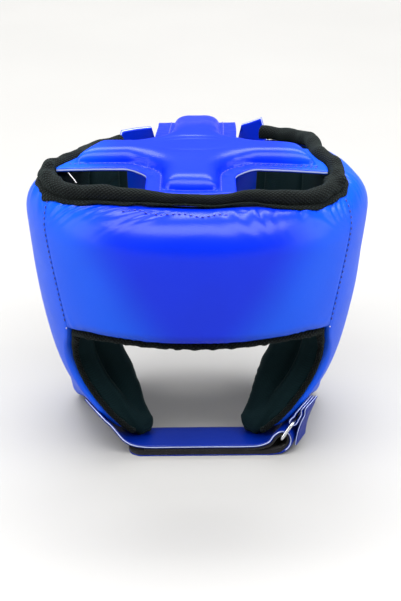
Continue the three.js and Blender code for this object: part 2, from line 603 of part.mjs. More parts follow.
function crownCross() {
  const middle = crownLengthAt(CROWN_MIDDLE_Y);
  const steps = [0, 9, 14, CROWN_PAD_HALF, CROWN_HALF];
  const beside = [...steps.slice(1).map((v) => -v).reverse(), ...steps];
  const fillet = CROWN_HALF + CROWN_FILLET;
  const armEnd = RIM_HALF;
  const armOut = [0, 0.33, 0.62, 0.82, 0.94].map((share) => lerp(fillet, armEnd, share));
  const lines = [...[...armOut, armEnd].map((v) => -v).reverse(), ...beside, ...armOut, armEnd];
  const frontEnd = crownLengthAt(-RIM_FRONT);
  const frontLines = [0, 4, 9, 16].map((v) => frontEnd + v);
  const rearStart = middle + fillet;
  const rearLines = [0, 14, 28, 42, 54, 62, 69, 75, 81, 88, 98, 112, 126, 136, 142].map((v) => rearStart + v);
  const rows = [
    ...frontLines,
    middle - fillet,
    ...beside.map((v) => middle + v),
    ...rearLines.filter((v) => v < CROWN_LENGTH - 1),
    CROWN_LENGTH,
  ];

  const flat = [];
  const numberOf = new Map();
  const corner = (x, run) => {
    const key = `${x.toFixed(3)},${run.toFixed(3)}`;
    if (!numberOf.has(key)) numberOf.set(key, flat.push({ x, run }) - 1);
    return numberOf.get(key);
  };
  const triangles = [];
  for (let j = 0; j < rows.length - 1; j += 1) {
    for (let i = 0; i < lines.length - 1; i += 1) {
      const inLongArm = Math.max(Math.abs(lines[i]), Math.abs(lines[i + 1])) <= CROWN_HALF + 0.01;
      const reach = Math.max(Math.abs(rows[j] - middle), Math.abs(rows[j + 1] - middle));
      if (!inLongArm && reach > CROWN_HALF + 0.01) continue;
      const a = corner(lines[i], rows[j]);
      const b = corner(lines[i + 1], rows[j]);
      const c = corner(lines[i + 1], rows[j + 1]);
      const d = corner(lines[i], rows[j + 1]);
      triangles.push([a, b, c], [a, c, d]);
    }
  }
  const arcSteps = 4;
  for (const [sx, sy] of [[1, 1], [-1, 1], [-1, -1], [1, -1]]) {
    const inner = corner(sx * CROWN_HALF, middle + sy * CROWN_HALF);
    const arc = Array.from({ length: arcSteps + 1 }, (_, k) => {
      const turn = (k / arcSteps) * (Math.PI / 2);
      const x = fillet - CROWN_FILLET * Math.sin(turn);
      const run = fillet - CROWN_FILLET * Math.cos(turn);
      return corner(sx * x, middle + sy * run);
    });
    for (let k = 0; k < arcSteps; k += 1) {
      triangles.push(sx * sy > 0 ? [inner, arc[k], arc[k + 1]] : [inner, arc[k + 1], arc[k]]);
    }
  }

  // Height of the padded core over the sheet.
  const padRise = ({ x, run }) => {
    const alongLong = Math.min(run - frontEnd, CROWN_LENGTH - run) - CROWN_PAD_END;
    const inLong = Math.min(CROWN_PAD_HALF - Math.abs(x), alongLong);
    const inSide = Math.min(CROWN_PAD_HALF - Math.abs(run - middle), armEnd - CROWN_PAD_END - Math.abs(x));
    const inside = THREE.MathUtils.clamp(Math.max(inLong, inSide) / CROWN_PAD_ROLL, 0, 1);
    const thinner = CROWN_PAD_THINNING * THREE.MathUtils.smoothstep(run, middle + 30, middle + 100);
    return (CROWN_PAD_RISE - thinner) * Math.sqrt(1 - (1 - inside) ** 2);
  };
  const place = ({ x, run }, lift) => {
    const width = lerp(1, CROWN_SIDE_WIDTH, smooth(Math.abs(x), CROWN_HALF, CROWN_HALF + CROWN_FILLET));
    const at = middle + (run - middle) * width;
    const share = THREE.MathUtils.clamp(at / CROWN_LENGTH, 0, 1);
    const onLine = CROWN_CURVE.getPointAt(share);
    const ahead = CROWN_CURVE.getTangentAt(share);
    const up = new THREE.Vector3(0, -ahead.z, ahead.y);
    const toFront = THREE.MathUtils.clamp((middle - CROWN_HALF - at) / (middle - CROWN_HALF - frontEnd), 0, 1);
    const toSide = Math.max(0, (Math.abs(x) - CROWN_HALF) / (armEnd - CROWN_HALF));
    const askew = lerp(CROWN_SKEW.front, CROWN_SKEW.rear, smooth(run, frontEnd, CROWN_WRAP_FROM)) * (1 - toSide);
    onLine.y = lerp(onLine.y, onLine.y + rimFrontAt(Math.abs(x + askew)) + RIM_FRONT, toFront);
    const rimReach = rimHalfAt(x < 0 ? -1 : 1, onLine.y);
    const reach = toSide > 0 ? lerp(CROWN_HALF, rimReach, toSide) : Math.abs(x);
    const wrap = THREE.MathUtils.smoothstep(run, CROWN_WRAP_FROM, CROWN_WRAP_FROM + CROWN_WRAP_OVER);
    const fall = CROWN_WRAP_RADIUS - Math.sqrt(CROWN_WRAP_RADIUS ** 2 - Math.min(Math.abs(x), CROWN_HALF) ** 2);
    const point = onLine.addScaledVector(up, lift - wrap * fall);
    point.x = Math.sign(x) * reach + askew;
    point.z -= CROWN_SIDE_DROOP * toSide ** 2;
    return point;
  };
  const tops = flat.map((c) => place(c, CROWN_SHEET / 2 + padRise(c)));
  const bottoms = flat.map((c) => place(c, -CROWN_SHEET / 2));
  return slab(tops, bottoms, triangles);
}

// Straps

// A band of one thickness on a grid of points: rows along it, each from its front edge to its rear edge.
// shift moves the whole band along its own normal.
function band(rows, thickness, shift = 0) {
  const across = rows[0].length;
  const at = (j, i) => rows[THREE.MathUtils.clamp(j, 0, rows.length - 1)][THREE.MathUtils.clamp(i, 0, across - 1)];
  const normal = (j, i) => {
    const along = at(j + 1, i).clone().sub(at(j - 1, i));
    const over = at(j, i + 1).clone().sub(at(j, i - 1));
    return over.cross(along).normalize();
  };
  const layer = (lift) => rows.flatMap((row, j) => row.map((p, i) => p.clone().addScaledVector(normal(j, i), lift)));
  return slab(layer(shift + thickness / 2), layer(shift - thickness / 2), gridTriangles(across, rows.length));
}

const STRAP_ACROSS = [0, 0.5, 1].map((k) => lerp(STRAP_FRONT_Y, STRAP_REAR_Y, k));
const STRAP_OFF_FLAP = 2.9;

const strapRows = STRAP_ROUTE.map((row) =>
  STRAP_ACROSS.map((y) => {
    const onFlap = -(cheekHalfWidth(y, row.z) + STRAP_OFF_FLAP);
    return new THREE.Vector3(row.x === undefined ? onFlap : row.x + row.slant * (y - STRAP_FRONT_Y), y, row.z);
  }),
);
const STRAP_TOTAL = STRAP_SHEET + SEWN_GAP + STRAP_PILE;
const chinStrap = band(strapRows, STRAP_SHEET, (STRAP_SHEET - STRAP_TOTAL) / 2);
const strapPile = band(strapRows.slice(STRAP_PILE_START), STRAP_PILE, (STRAP_TOTAL - STRAP_PILE) / 2);

const TAB_ACROSS = [0.06, 0.38, 0.7].map((k) => lerp(STRAP_FRONT_Y, STRAP_REAR_Y, k));
const onLeftFlap = (row) =>
  TAB_ACROSS.map((y) => {
    const onFlap = cheekHalfWidth(y, row.z) + row.off;
    return new THREE.Vector3(row.x === undefined ? onFlap : row.x + FLAP_SLANT * (y - STRAP_FRONT_Y), y, row.z);
  });
const ringTab = band(TAB_ROUTE.map(onLeftFlap), TAB_SHEET);
const tabTail = band(TAIL_ROUTE.map(onLeftFlap), TAB_SHEET);

// Closing strap across the back, outside both rear pads. off is the angle from the middle of the back towards
// the wearer's left, top the height of the upper edge: it ducks under the crown's back arm in the middle, and
// beside the ends of the pads its corners are cut off.
const REAR_STRAP_LOW = 98;
const REAR_STRAP_TOP = [
  { off: -43, top: 152 },
  { off: -36, top: 154 },
  { off: -30, top: 157 },
  { off: -28, top: 171 },
  { off: -22, top: 171.5 },
  { off: -16.4, top: 171.5 },
  { off: -14.3, top: 158.5 },
  { off: -7, top: 159 },
  { off: 0, top: 159 },
  { off: 7, top: 159 },
  { off: 15.8, top: 158.5 },
  { off: 17.8, top: 173.2 },
  { off: 21.5, top: 176 },
  { off: 25.6, top: 179.5 },
  { off: 27.6, top: 163 },
  { off: 32, top: 158 },
  { off: 43, top: 153 },
];

function rearStrap() {
  const outside = -(REAR_STRAP_SHEET / 2 + 0.9);
  const stops = [...REAR_STRAP_TOP].reverse();
  const rows = [0, 0.2, 0.4, 0.6, 0.8, 1].map((k) =>
    stops.map(({ off, top: high }) => {
      const deg = off > 0 ? 180 - off : -180 - off;
      return wallDepth(deg, lerp(REAR_STRAP_LOW, high, k), outside);
    }),
  );
  return band(rows, REAR_STRAP_SHEET);
}

// Steel ring: a rectangle of wire with round corners, its two long bars along Y.
function chinRing() {
  const foot = new THREE.Vector3(RING_FOOT.x, 0, RING_FOOT.z);
  const head = new THREE.Vector3(RING_TOP.x, 0, RING_TOP.z);
  const bend = 2.6;
  const rise = head.distanceTo(foot);
  const front = STRAP_FRONT_Y - RING_WIRE_RADIUS - 0.8;
  const back = STRAP_REAR_Y + RING_WIRE_RADIUS + 0.8;
  const outline = new THREE.Path();
  outline.moveTo(front + bend, 0).lineTo(back - bend, 0);
  outline.absarc(back - bend, bend, bend, -Math.PI / 2, 0);
  outline.lineTo(back, rise - bend).absarc(back - bend, rise - bend, bend, 0, Math.PI / 2);
  outline.lineTo(front + bend, rise).absarc(front + bend, rise - bend, bend, Math.PI / 2, Math.PI);
  outline.lineTo(front, bend).absarc(front + bend, bend, bend, Math.PI, 1.5 * Math.PI);
  const up = head.clone().sub(foot).normalize();
  const line = outline.getSpacedPoints(40).slice(0, -1).map((p) => {
    const point = foot.clone().addScaledVector(up, p.y).setY(p.x);
    point.x += FLAP_SLANT * (p.x - STRAP_FRONT_Y);
    return point;
  });
  return new THREE.TubeGeometry(new THREE.CatmullRomCurve3(line, true), 40, RING_WIRE_RADIUS, 6, true);
}

// Assembly

const guard = new THREE.Group();
guard.name = "head_guard";

function add(name, geometry, material) {
  const mesh = new THREE.Mesh(geometry, material);
  mesh.name = name;
  mesh.position.y = -MIDDLE_Y;
  guard.add(mesh);
}

// A panel's pad and lining on both sides of the head.
function addPair(name, panelFor) {
  const left = panelFor(RIMS.left);
  const right = panelFor(RIMS.right);
  add(`${name}_pad_left`, left.pad, VINYL);
  add(`${name}_lining_left`, left.lining, MESH_LINING);
  add(`${name}_pad_right`, mirrored(right.pad), VINYL);
  add(`${name}_lining_right`, mirrored(right.lining), MESH_LINING);
}

add("forehead_pad", forehead.pad, VINYL);
add("forehead_lining", forehead.lining, MESH_LINING);
addPair("cheek", cheek);
addPair("rear", rear);
add("top_binding", topBinding(), BINDING);
add("face_binding", faceBinding(), BINDING);
add("crown_cross", crownCross(), VINYL);
add("rear_strap", rearStrap(), VINYL);
add("chin_strap", chinStrap, VINYL);
add("strap_pile", strapPile, PILE);
add("ring_tab", ringTab, VINYL);
add("tab_tail", tabTail, VINYL);
add("chin_ring", chinRing(), STEEL);

export default guard;
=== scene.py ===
# %% [markdown]
# # A padded head guard
# A boxing head guard is a soft wall of foam pads round the head, covered with glossy blue vinyl and
# lined with dark knitted cloth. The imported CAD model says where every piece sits. This lesson makes each
# soft piece again as a fine surface, with its rolled edges, puckers and stitches, and gives it a finish.
# Every shape is a numpy function of two parameters, so a whole grid of points is worked out at once.

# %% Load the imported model
import math

import bpy
import numpy as np
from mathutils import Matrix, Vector


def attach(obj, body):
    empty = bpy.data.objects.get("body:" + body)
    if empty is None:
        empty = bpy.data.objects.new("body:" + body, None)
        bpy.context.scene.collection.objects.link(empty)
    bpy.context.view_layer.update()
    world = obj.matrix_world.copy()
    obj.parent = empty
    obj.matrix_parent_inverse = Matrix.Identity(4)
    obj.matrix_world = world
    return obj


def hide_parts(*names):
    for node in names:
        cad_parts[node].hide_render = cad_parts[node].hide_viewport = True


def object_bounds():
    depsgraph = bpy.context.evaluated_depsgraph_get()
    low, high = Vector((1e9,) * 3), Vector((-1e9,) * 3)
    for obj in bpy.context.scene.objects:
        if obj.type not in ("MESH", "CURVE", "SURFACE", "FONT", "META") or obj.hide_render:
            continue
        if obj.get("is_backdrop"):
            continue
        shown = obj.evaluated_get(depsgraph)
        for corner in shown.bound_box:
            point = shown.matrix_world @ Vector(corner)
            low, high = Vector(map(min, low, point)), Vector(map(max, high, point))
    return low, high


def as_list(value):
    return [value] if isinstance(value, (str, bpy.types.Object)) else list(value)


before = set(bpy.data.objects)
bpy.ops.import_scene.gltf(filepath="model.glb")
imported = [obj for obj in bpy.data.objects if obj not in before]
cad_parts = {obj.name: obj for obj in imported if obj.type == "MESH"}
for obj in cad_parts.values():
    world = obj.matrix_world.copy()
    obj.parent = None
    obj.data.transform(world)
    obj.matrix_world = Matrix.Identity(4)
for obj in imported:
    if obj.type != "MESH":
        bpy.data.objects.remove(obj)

CAD_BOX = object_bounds()
print("nodes:", len(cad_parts), "box:", CAD_BOX)

# %% [markdown]
# ## The shape of the wall in tables
# A maker would cut paper patterns. Here the patterns are short tables in millimetres: the outer face of the
# wall at each level, the line of the temple seam and of the flap's front edge below it, the lower hem and
# the upper rim. They are the same tables as in the CAD source, so the visual pieces land on their solids.
# Angles are counted from the face towards the wearer's left.

# %% Tables
MM = 0.001
MIDDLE_Y = 5.2  # the tables count Y from the middle of the head, the frame from the middle of its box
LEVELS = {
    "z": [-6, 0, 8, 16, 26, 38, 50, 66, 84, 105, 128, 150, 170, 190],
    "side": [32, 40, 49.5, 59, 70.5, 80.5, 87.5, 93.5, 98, 101.5, 104, 106.5, 108, 108],
    "nape": [88, 89, 89.5, 90, 90.5, 91.5, 92.5, 95, 98, 101, 103.5, 105, 104, 100],
    "front": [82, 85, 88, 90, 91.5, 92.5, 93.5, 95, 97, 100.5, 103.5, 105, 104.5, 102],
    "rear": [86, 87, 89, 91, 93, 96, 98, 100, 102, 103, 103, 102, 100, 96],
}
FRONT_EDGE = {
    "z": [14.3, 19, 26, 36, 50, 64, 76, 86, 96, 113, 132, 158, 181],
    "deg": [59, 57.2, 56.4, 57.6, 60, 60.6, 58, 54.4, 52.8, 53.8, 55.6, 57, 57.4],
}
HEM = {
    "deg": [55, 66, 76, 86, 95, 103, 110, 118, 122, 128, 134, 141, 152],
    "z": [14.3, 14.3, 13.5, 12, 8.5, 3, 0.15, 0.15, 7, 27, 42, 47, 48],
}
RIM = {
    "deg": [0, 20, 34, 45, 53, 62, 74, 84, 94, 106, 121, 140, 152],
    "left": [178, 177.6, 175, 173, 173.3, 175.5, 178.3, 178.5, 178, 178, 175.5, 171, 168],
    "right": [178, 178, 177, 175.2, 174.6, 175.2, 176.6, 176.8, 175.8, 172.8, 168, 164.5, 163],
    "left_in": [22, 21.5, 16.5, 13, 13, 15.5, 21, 27, 29, 26, 20, 15, 13],
    "right_in": [22, 22, 19.5, 15.5, 12, 10.5, 13.5, 24, 31, 30, 23, 15, 13],
}
print("levels from", LEVELS["z"][0], "to", LEVELS["z"][-1], "mm, rim at", len(RIM["deg"]), "angles")

# %% Steps and bells


def lerp(a, b, k):
    """Straight blend from a to b."""
    return a + (b - a) * k


def smoothstep(x, low, high):
    """Goes from 0 at low to 1 at high with level ends: 3k^2 - 2k^3."""
    k = np.clip((x - low) / (high - low), 0, 1)
    return k * k * (3 - 2 * k)


def bell(x, middle, width):
    """A bell of height 1: exp(-((x - middle) / width)^2)."""
    return np.exp(-(((x - middle) / width) ** 2))


def quarter_drop(k):
    """Drop along a quarter circle, 1 - sqrt(1 - k^2): level at 0 and upright at 1."""
    k = np.clip(k, 0, 1)
    return 1 - np.sqrt(1 - k * k)


print("a step after a quarter of its way:", float(smoothstep(0.25, 0, 1)))

# %% Curves through the tables


def column(table, key, name):
    """A smooth curve through one column of a table: a cubic on each span, whose slope at a row is that of
    the chord between the row's neighbours."""
    x, y = np.array(table[key], float), np.array(table[name], float)
    before, after = np.maximum(np.arange(len(x)) - 1, 0), np.minimum(np.arange(len(x)) + 1, len(x) - 1)
    slope = (y[after] - y[before]) / (x[after] - x[before])

    def at(v):
        v = np.asarray(v, float)
        i = np.clip(np.searchsorted(x, v) - 1, 0, len(x) - 2)
        span, rise = x[i + 1] - x[i], y[i + 1] - y[i]
        k = np.clip((v - x[i]) / span, 0, 1)
        bend_start, bend_end = slope[i] * span - rise, rise - slope[i + 1] * span
        return y[i] + k * rise + k * (1 - k) * ((1 - k) * bend_start + k * bend_end)

    return at


side_at, nape_at, front_at, rear_at = (column(LEVELS, "z", c) for c in ("side", "nape", "front", "rear"))
edge_deg = column(FRONT_EDGE, "z", "deg")
hem_z = column(HEM, "deg", "z")
RIM_Z = {1: column(RIM, "deg", "left"), -1: column(RIM, "deg", "right")}
RIM_IN = {1: column(RIM, "deg", "left_in"), -1: column(RIM, "deg", "right_in")}
print("rim over the brow:", float(RIM_Z[1](0)), "mm")

# %% [markdown]
# ## A point of the wall
# The wall is a round shape whose half width and reach change with the level. Its depth is counted inwards
# from the outer face along a nearly level normal, because the edges of such foam are cut nearly level. One
# function for all pads makes neighbours meet along their seams without any fitting.

# %% The wall as a function of angle and level
LEVEL_CUT = 0.3  # share of the wall's slope that its edges are cut with
NAPE_FROM_DEG, NAPE_FULL_DEG = 60, 112  # between these the half width goes over to that of the nape


def unit(v):
    """Vectors of length one."""
    return v / np.maximum(np.linalg.norm(v, axis=-1, keepdims=True), 1e-9)


def wall_point(deg, z):
    """Half width times the sine, and reach times the cosine, of the angle; the half width goes over from
    that of the cheeks to that of the nape behind the ears."""
    deg, z = np.broadcast_arrays(np.asarray(deg, float), np.asarray(z, float))
    half = lerp(side_at(z), nape_at(z), smoothstep(np.abs(deg), NAPE_FROM_DEG, NAPE_FULL_DEG))
    reach = np.where(np.abs(deg) < 90, front_at(z), rear_at(z))
    turn = np.radians(deg)
    return np.stack([half * np.sin(turn), -reach * np.cos(turn), z], -1)


def wall_depth(deg, z, depth):
    """A point at a depth under the outer face, along the flattened normal."""
    step = 0.6
    ahead = wall_point(deg + step, z) - wall_point(deg - step, z)
    up = wall_point(deg, z + step) - wall_point(deg, z - step)
    normal = unit(np.cross(ahead, up)) * (1, 1, LEVEL_CUT)
    return wall_point(deg, z) - unit(normal) * np.asarray(depth)[..., None]


def rim_z(deg):
    """Height of the rim, which is not the same on the two sides."""
    return np.where(deg < 0, RIM_Z[-1](np.abs(deg)), RIM_Z[1](np.abs(deg)))


def rim_in(deg):
    """How far inside the wall's outer face the skin ends at the rim."""
    return np.where(deg < 0, RIM_IN[-1](np.abs(deg)), RIM_IN[1](np.abs(deg)))


print("temple:", wall_point(55, 130).round(1))

# %% [markdown]
# ## From grids to meshes
# A grid of points becomes a mesh by numbering its cells. A padded piece is closed: it has an outer and an
# inner grid, and a strip of wall runs round their border. The border is found as the edges that only one
# cell uses. The wall carries an attribute that is 1 there, so a cut edge can show the pale backing cloth.
# A Solidify modifier could close a sheet too, but here the two sides of a piece have different shapes.

# %% Cells of a grid


def grid_quads(rows, cols, wrap=False):
    """Corner numbers of every cell of a grid whose points are stored row by row; wrap closes the rows."""
    i, j = np.meshgrid(np.arange(rows - 1), np.arange(cols if wrap else cols - 1), indexing="ij")
    i, j = i.ravel(), j.ravel()
    k = (j + 1) % cols
    return np.stack([i * cols + j, i * cols + k, (i + 1) * cols + k, (i + 1) * cols + j], 1)


print("cells of a grid of 3 by 4 points:", len(grid_quads(3, 4)))

# %% From points and faces to a piece


def volume(points, blocks):
    """Six times the enclosed volume, from a fan of triangles in each face."""
    total = 0.0
    for block in blocks:
        p = points[block]
        for k in range(1, block.shape[1] - 1):
            total += np.einsum("ij,ij->", p[:, 0], np.cross(p[:, k], p[:, k + 1]))
    return total


def make_piece(name, points, blocks, finish, slot, stands_for=(), uv=(), cut=None):
    """Puts points (millimetres of the tables) and blocks of faces into a mesh, facing outwards. uv is in
    metres: an array with one pair for each point, or a list with the corners' pairs of each block. cut is
    1 on cut edges."""
    points = (np.asarray(points, float).reshape(-1, 3) - (0, MIDDLE_Y, 0)) * MM
    corner_uv = [uv[b] for b in blocks] if isinstance(uv, np.ndarray) else uv
    if volume(points, blocks) < 0:
        blocks, corner_uv = ([b[:, ::-1] for b in rows] for rows in (blocks, corner_uv))
    mesh = bpy.data.meshes.new(name)
    mesh.from_pydata(points.tolist(), [], [face for b in blocks for face in b.tolist()])
    if corner_uv:
        flat_uv = np.concatenate([pairs.reshape(-1, 2) for pairs in corner_uv])
        mesh.uv_layers.new(name="cloth").data.foreach_set("uv", flat_uv.astype(np.float32).ravel())
    mark = mesh.attributes.new("cut", "FLOAT", "POINT")
    mark.data.foreach_set("value", (np.zeros(len(points)) if cut is None else cut).astype(np.float32))
    mesh.polygons.foreach_set("use_smooth", np.ones(len(mesh.polygons), bool))
    mesh.materials.append(finish)
    mesh.update()
    piece = bpy.data.objects.new(name, mesh)
    bpy.context.scene.collection.objects.link(piece)
    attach(piece, "root")
    if stands_for:
        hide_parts(*stands_for)
    size = np.ptp(points, axis=0) / MM
    print(f"{name}: {len(points)} points, {size.round(0)} mm")
    return piece


# %% Closed plates


def split_cells(cells):
    """Cells with two equal corners become triangles."""
    short = cells[:, 2] == cells[:, 3]
    return [b for b in (cells[~short], cells[short][:, :3]) if len(b)]


def walled(tops, bottoms, cells, cut_from=0.34):
    """A closed plate: every cell once above and once below, and a wall along the border edges. Two rings of
    points in the wall carry the cut mark. Returns points, face blocks, marks and the source of each point."""
    tops, bottoms = tops.reshape(-1, 3), bottoms.reshape(-1, 3)
    count = len(tops)
    start, end = cells.ravel(), np.roll(cells, -1, axis=1).ravel()
    start, end = start[start != end], end[start != end]
    lonely = ~np.isin(end * count + start, start * count + end)
    start, end = start[lonely], end[lonely]
    border = np.unique(start)
    place = np.zeros(count, int)
    place[border] = np.arange(len(border))
    rings = [2 * count + place, 2 * count + len(border) + place]
    steps = [np.arange(count), rings[0], rings[1], np.arange(count) + count]
    walls = [np.stack([a[end], a[start], b[start], b[end]], 1) for a, b in zip(steps, steps[1:])]
    upper, lower = (lerp(tops[border], bottoms[border], k) for k in (cut_from, 1 - cut_from))
    points = np.concatenate([tops, bottoms, upper, lower])
    marks = np.concatenate([np.zeros(2 * count), np.ones(2 * len(border))])
    source = np.concatenate([np.arange(count), np.arange(count), border, border])
    under = [b[:, ::-1] + count for b in split_cells(cells)]
    return points, [*split_cells(cells), *under, *walls], marks, source


plate = walled(*np.zeros((2, 12, 3)), grid_quads(3, 4))
print("faces of a plate of 3 by 4 points:", sum(len(b) for b in plate[1]))

# %% Measures on a grid


def run_along(grid, axis):
    """Distance walked over the points of a grid, from its first row or column."""
    steps = np.linalg.norm(np.diff(grid, axis=axis), axis=-1)
    start = np.zeros_like(np.take(steps, [0], axis=axis))
    return np.concatenate([start, np.cumsum(steps, axis=axis)], axis=axis)


def measured(grid):
    """Distances over the grid from its four borders, in millimetres."""
    along, rise = run_along(grid, 1), run_along(grid, 0)
    return {"first": along, "last": along[:, -1:] - along, "bottom": rise, "top": rise[-1:] - rise}


def cloth_uv(grid):
    """UVs in metres: the distances walked across each row and up each column."""
    return np.stack([run_along(grid, 1), run_along(grid, 0)], -1).reshape(-1, 2) * MM


def grid_normal(grid):
    """Unit normals of a grid: direction along the columns crossed with direction along the rows."""
    return unit(np.cross(np.gradient(grid, axis=1), np.gradient(grid, axis=0)))


temple_patch = wall_point(*np.meshgrid(np.linspace(50, 60, 11), np.linspace(120, 130, 11)))
print("10 degrees of the temple:", float(measured(temple_patch)["first"][0, -1].round(1)), "mm")

# %% [markdown]
# ## Waves and gathers
# Sewn vinyl is never perfectly smooth: where a longer skin is sewn to a shorter edge it puckers. A simple
# model is a wave along the seam whose pitch and lean drift at random and whose height fades away from it.
# A cloth simulation would pucker by itself; the formula is quicker and gives the same folds on every run.

# %% Waves and gathers
SPREAD = (0.7, 1.5)  # random factors on a wave's length in waves, and on the number of waves in drift
DRIFTS = 4  # waves in a drift
LEAN, STRAY = 0.9, 1.6  # how far puckers lean, and how far their phase strays in radians


def waves(x, y, pitch, seed, count=6):
    """Sum of plane waves with random directions and phases and lengths near pitch, mostly from -1 to 1."""
    rng = np.random.default_rng(seed)
    turns, phases = rng.uniform(0, 2 * math.pi, (2, count))
    lengths = pitch * rng.uniform(*SPREAD, count)
    total = 0.0
    for turn, phase, length in zip(turns, phases, lengths):
        ahead = x * math.cos(turn) + y * math.sin(turn)
        total = total + np.cos(2 * math.pi * ahead / length + phase)
    return total / math.sqrt(count)


def drift(x, pitch, seed):
    """Sum of cosines along one line, with random phases and lengths near pitch, mostly from -1 to 1."""
    rng = np.random.default_rng(seed)
    total = 0.0
    for often, phase in zip(rng.uniform(*SPREAD, DRIFTS), rng.uniform(0, 2 * math.pi, DRIFTS)):
        total = total + np.cos(2 * math.pi * x * often / pitch + phase)
    return total / math.sqrt(DRIFTS)


def gathers(along, away, pitch, reach, seed):
    """Puckers that run away from a seam: a cosine along it with a drifting phase and lean, high just beside
    the seam and fading over reach."""
    lean = LEAN * drift(along, 7 * pitch, seed)
    stray = STRAY * drift(along, 3.4 * pitch, seed + 1)
    ridge = np.cos(2 * math.pi * (along + lean * away) / pitch + stray)
    size = 0.55 + 0.45 * drift(along, 5 * pitch, seed + 2)
    fade = np.exp(-((away / reach) ** 1.4)) * smoothstep(away, 0.15 * reach, 0.5 * reach)
    return ridge * size * fade


print("gather test:", gathers(np.arange(5.0), 3.0, 9, 8, 1).round(2))

# %% [markdown]
# ## Finishes
# Six finishes cover the guard: glossy vinyl with a fine pressed grain, dark knitted lining, black knitted
# binding, the fuzzy pile of a hook-and-loop strap, twisted thread and bright steel. All are made of nodes.
# Pictures of cloth could be used, but nodes need no files and stay sharp at any distance. Grain sits on
# Object coordinates, because it has no direction; knits follow the cloth, so they read the piece's own UV
# map, which is in metres.

# %% An empty finish


def put(tree, node, inputs):
    """Sets or links the named inputs of a node."""
    for key, value in inputs.items():
        if isinstance(value, bpy.types.NodeSocket):
            tree.links.new(value, node.inputs[key])
        else:
            node.inputs[key].default_value = value
    return node


def new_finish(name):
    """An empty material, a function that adds a node to it and one that dresses its shader."""
    material = bpy.data.materials.new(name)
    material.use_nodes = True
    tree = material.node_tree
    shader = tree.nodes["Principled BSDF"]

    def add(kind, inputs=None, **settings):
        node = tree.nodes.new("ShaderNode" + kind)
        for key, value in settings.items():
            setattr(node, key, value)
        return put(tree, node, inputs or {})

    return material, add, lambda inputs: put(tree, shader, inputs)


# %% Short names for nodes


def blend(add, share, first, second):
    """A colour that goes from first to second as the share goes from 0 to 1."""
    return add("Mix", {0: share, 6: first, 7: second}, data_type="RGBA").outputs[2]


def noise(add, place, scale, detail, roughness=0.5):
    """Clouds of about 1 / scale metres, from 0 to 1."""
    inputs = {"Vector": place, "Scale": scale, "Detail": detail, "Roughness": roughness}
    return add("TexNoise", inputs).outputs["Fac"]


def eased(add, value, low, high):
    """0 up to low and 1 from high on, with a smooth step between."""
    inputs = {"Value": value, "From Min": low, "From Max": high}
    return add("MapRange", inputs, interpolation_type="SMOOTHSTEP").outputs[0]


def spread(add, share, low, high):
    """A share from 0 to 1 brought to the range from low to high."""
    return add("MapRange", {"Value": share, "To Min": low, "To Max": high}).outputs[0]


def bumps(add, height, strength, depth, under=None):
    """Normals tilted by a height of the given depth in metres, on top of other bumps."""
    inputs = {"Strength": strength, "Distance": depth, "Height": height}
    return add("Bump", inputs if under is None else {**inputs, "Normal": under}).outputs[0]


# %% Vinyl
PALE_BACKING = (0.46, 0.52, 0.72, 1)
# The two vinyl blues hold painted light and shade: the deeper middle blue is painted shade, a dark reflection
# over the brow; the paler, greener side blue is painted light from the side lamps.
SHADED_MIDDLE_BLUE = ((0.0005, 0.012, 0.44, 1), (0.0005, 0.020, 0.54, 1))
LIT_SIDE_BLUE = ((0.001, 0.054, 0.55, 1), (0.001, 0.072, 0.63, 1))
# The strap blue is darker than the rest as painted shade: the straps lie in shade under the guard.
SHADED_STRAP_BLUE = ((0.0005, 0.009, 0.16, 1), (0.0005, 0.014, 0.22, 1))
SHADE_WEDGE_Z, SHADE_WEDGE_X = (0.09, 0.16), (0.012, 0.056)  # levels, and the half widths of the deeper blue there, which is painted shade
SHADE_WEDGE_BLUR = (-0.014, 0.03)  # inside and outside of its soft border
GRAIN_SIZE, VINYL_ROUGH, CUT_ROUGH = 0.0008, 0.45, 0.9


def vinyl_finish(name, middle, sides):
    """Two close blues clouded together, with painted light and shade: a deeper pair in a wedge over the brow
    is painted shade and a paler one at the sides painted light; pale backing where the sheet is cut; a cell
    grain and a soft peel under a thin glossy coat."""
    material, add, dress = new_finish(name)
    place = add("TexCoord").outputs["Object"]
    cloud = noise(add, place, 16.0, 4.0)
    deep, pale = (blend(add, cloud, *pair) for pair in (middle, sides))
    axes = add("SeparateXYZ", {"Vector": place})
    across = add("Math", {0: axes.outputs["X"]}, operation="ABSOLUTE")
    border = add("MapRange", {"Value": axes.outputs["Z"], "From Min": SHADE_WEDGE_Z[0], "From Max": SHADE_WEDGE_Z[1],
                              "To Min": SHADE_WEDGE_X[0], "To Max": SHADE_WEDGE_X[1]})
    beyond = add("Math", {0: across.outputs[0], 1: border.outputs[0]}, operation="SUBTRACT")
    # painted shade inside the wedge, painted light outside it
    shade = blend(add, eased(add, beyond.outputs[0], *SHADE_WEDGE_BLUR), deep, pale)
    cut = eased(add, add("Attribute", attribute_name="cut").outputs["Fac"], 0.6, 0.9)
    colour = blend(add, cut, shade, PALE_BACKING)
    scuff = noise(add, place, 90.0, 5.0, 0.65)
    worn = spread(add, scuff, VINYL_ROUGH - 0.06, VINYL_ROUGH + 0.08)
    gloss = add("Mix", {0: cut, 2: worn, 3: CUT_ROUGH})
    grain = add("TexVoronoi", {"Vector": place, "Scale": 1 / GRAIN_SIZE})
    pressed = bumps(add, grain.outputs["Distance"], 0.1, 0.0002)
    peel = bumps(add, noise(add, place, 260.0, 2.0), 0.1, 0.0005, pressed)
    dress({"Base Color": colour, "Roughness": gloss.outputs[0], "Normal": peel,
           "Coat Weight": 0.08, "Coat Roughness": 0.27, "Coat IOR": 2.5, "Specular IOR Level": 0.1,
           "Specular Tint": (0.1, 0.6, 1, 1)})
    return material


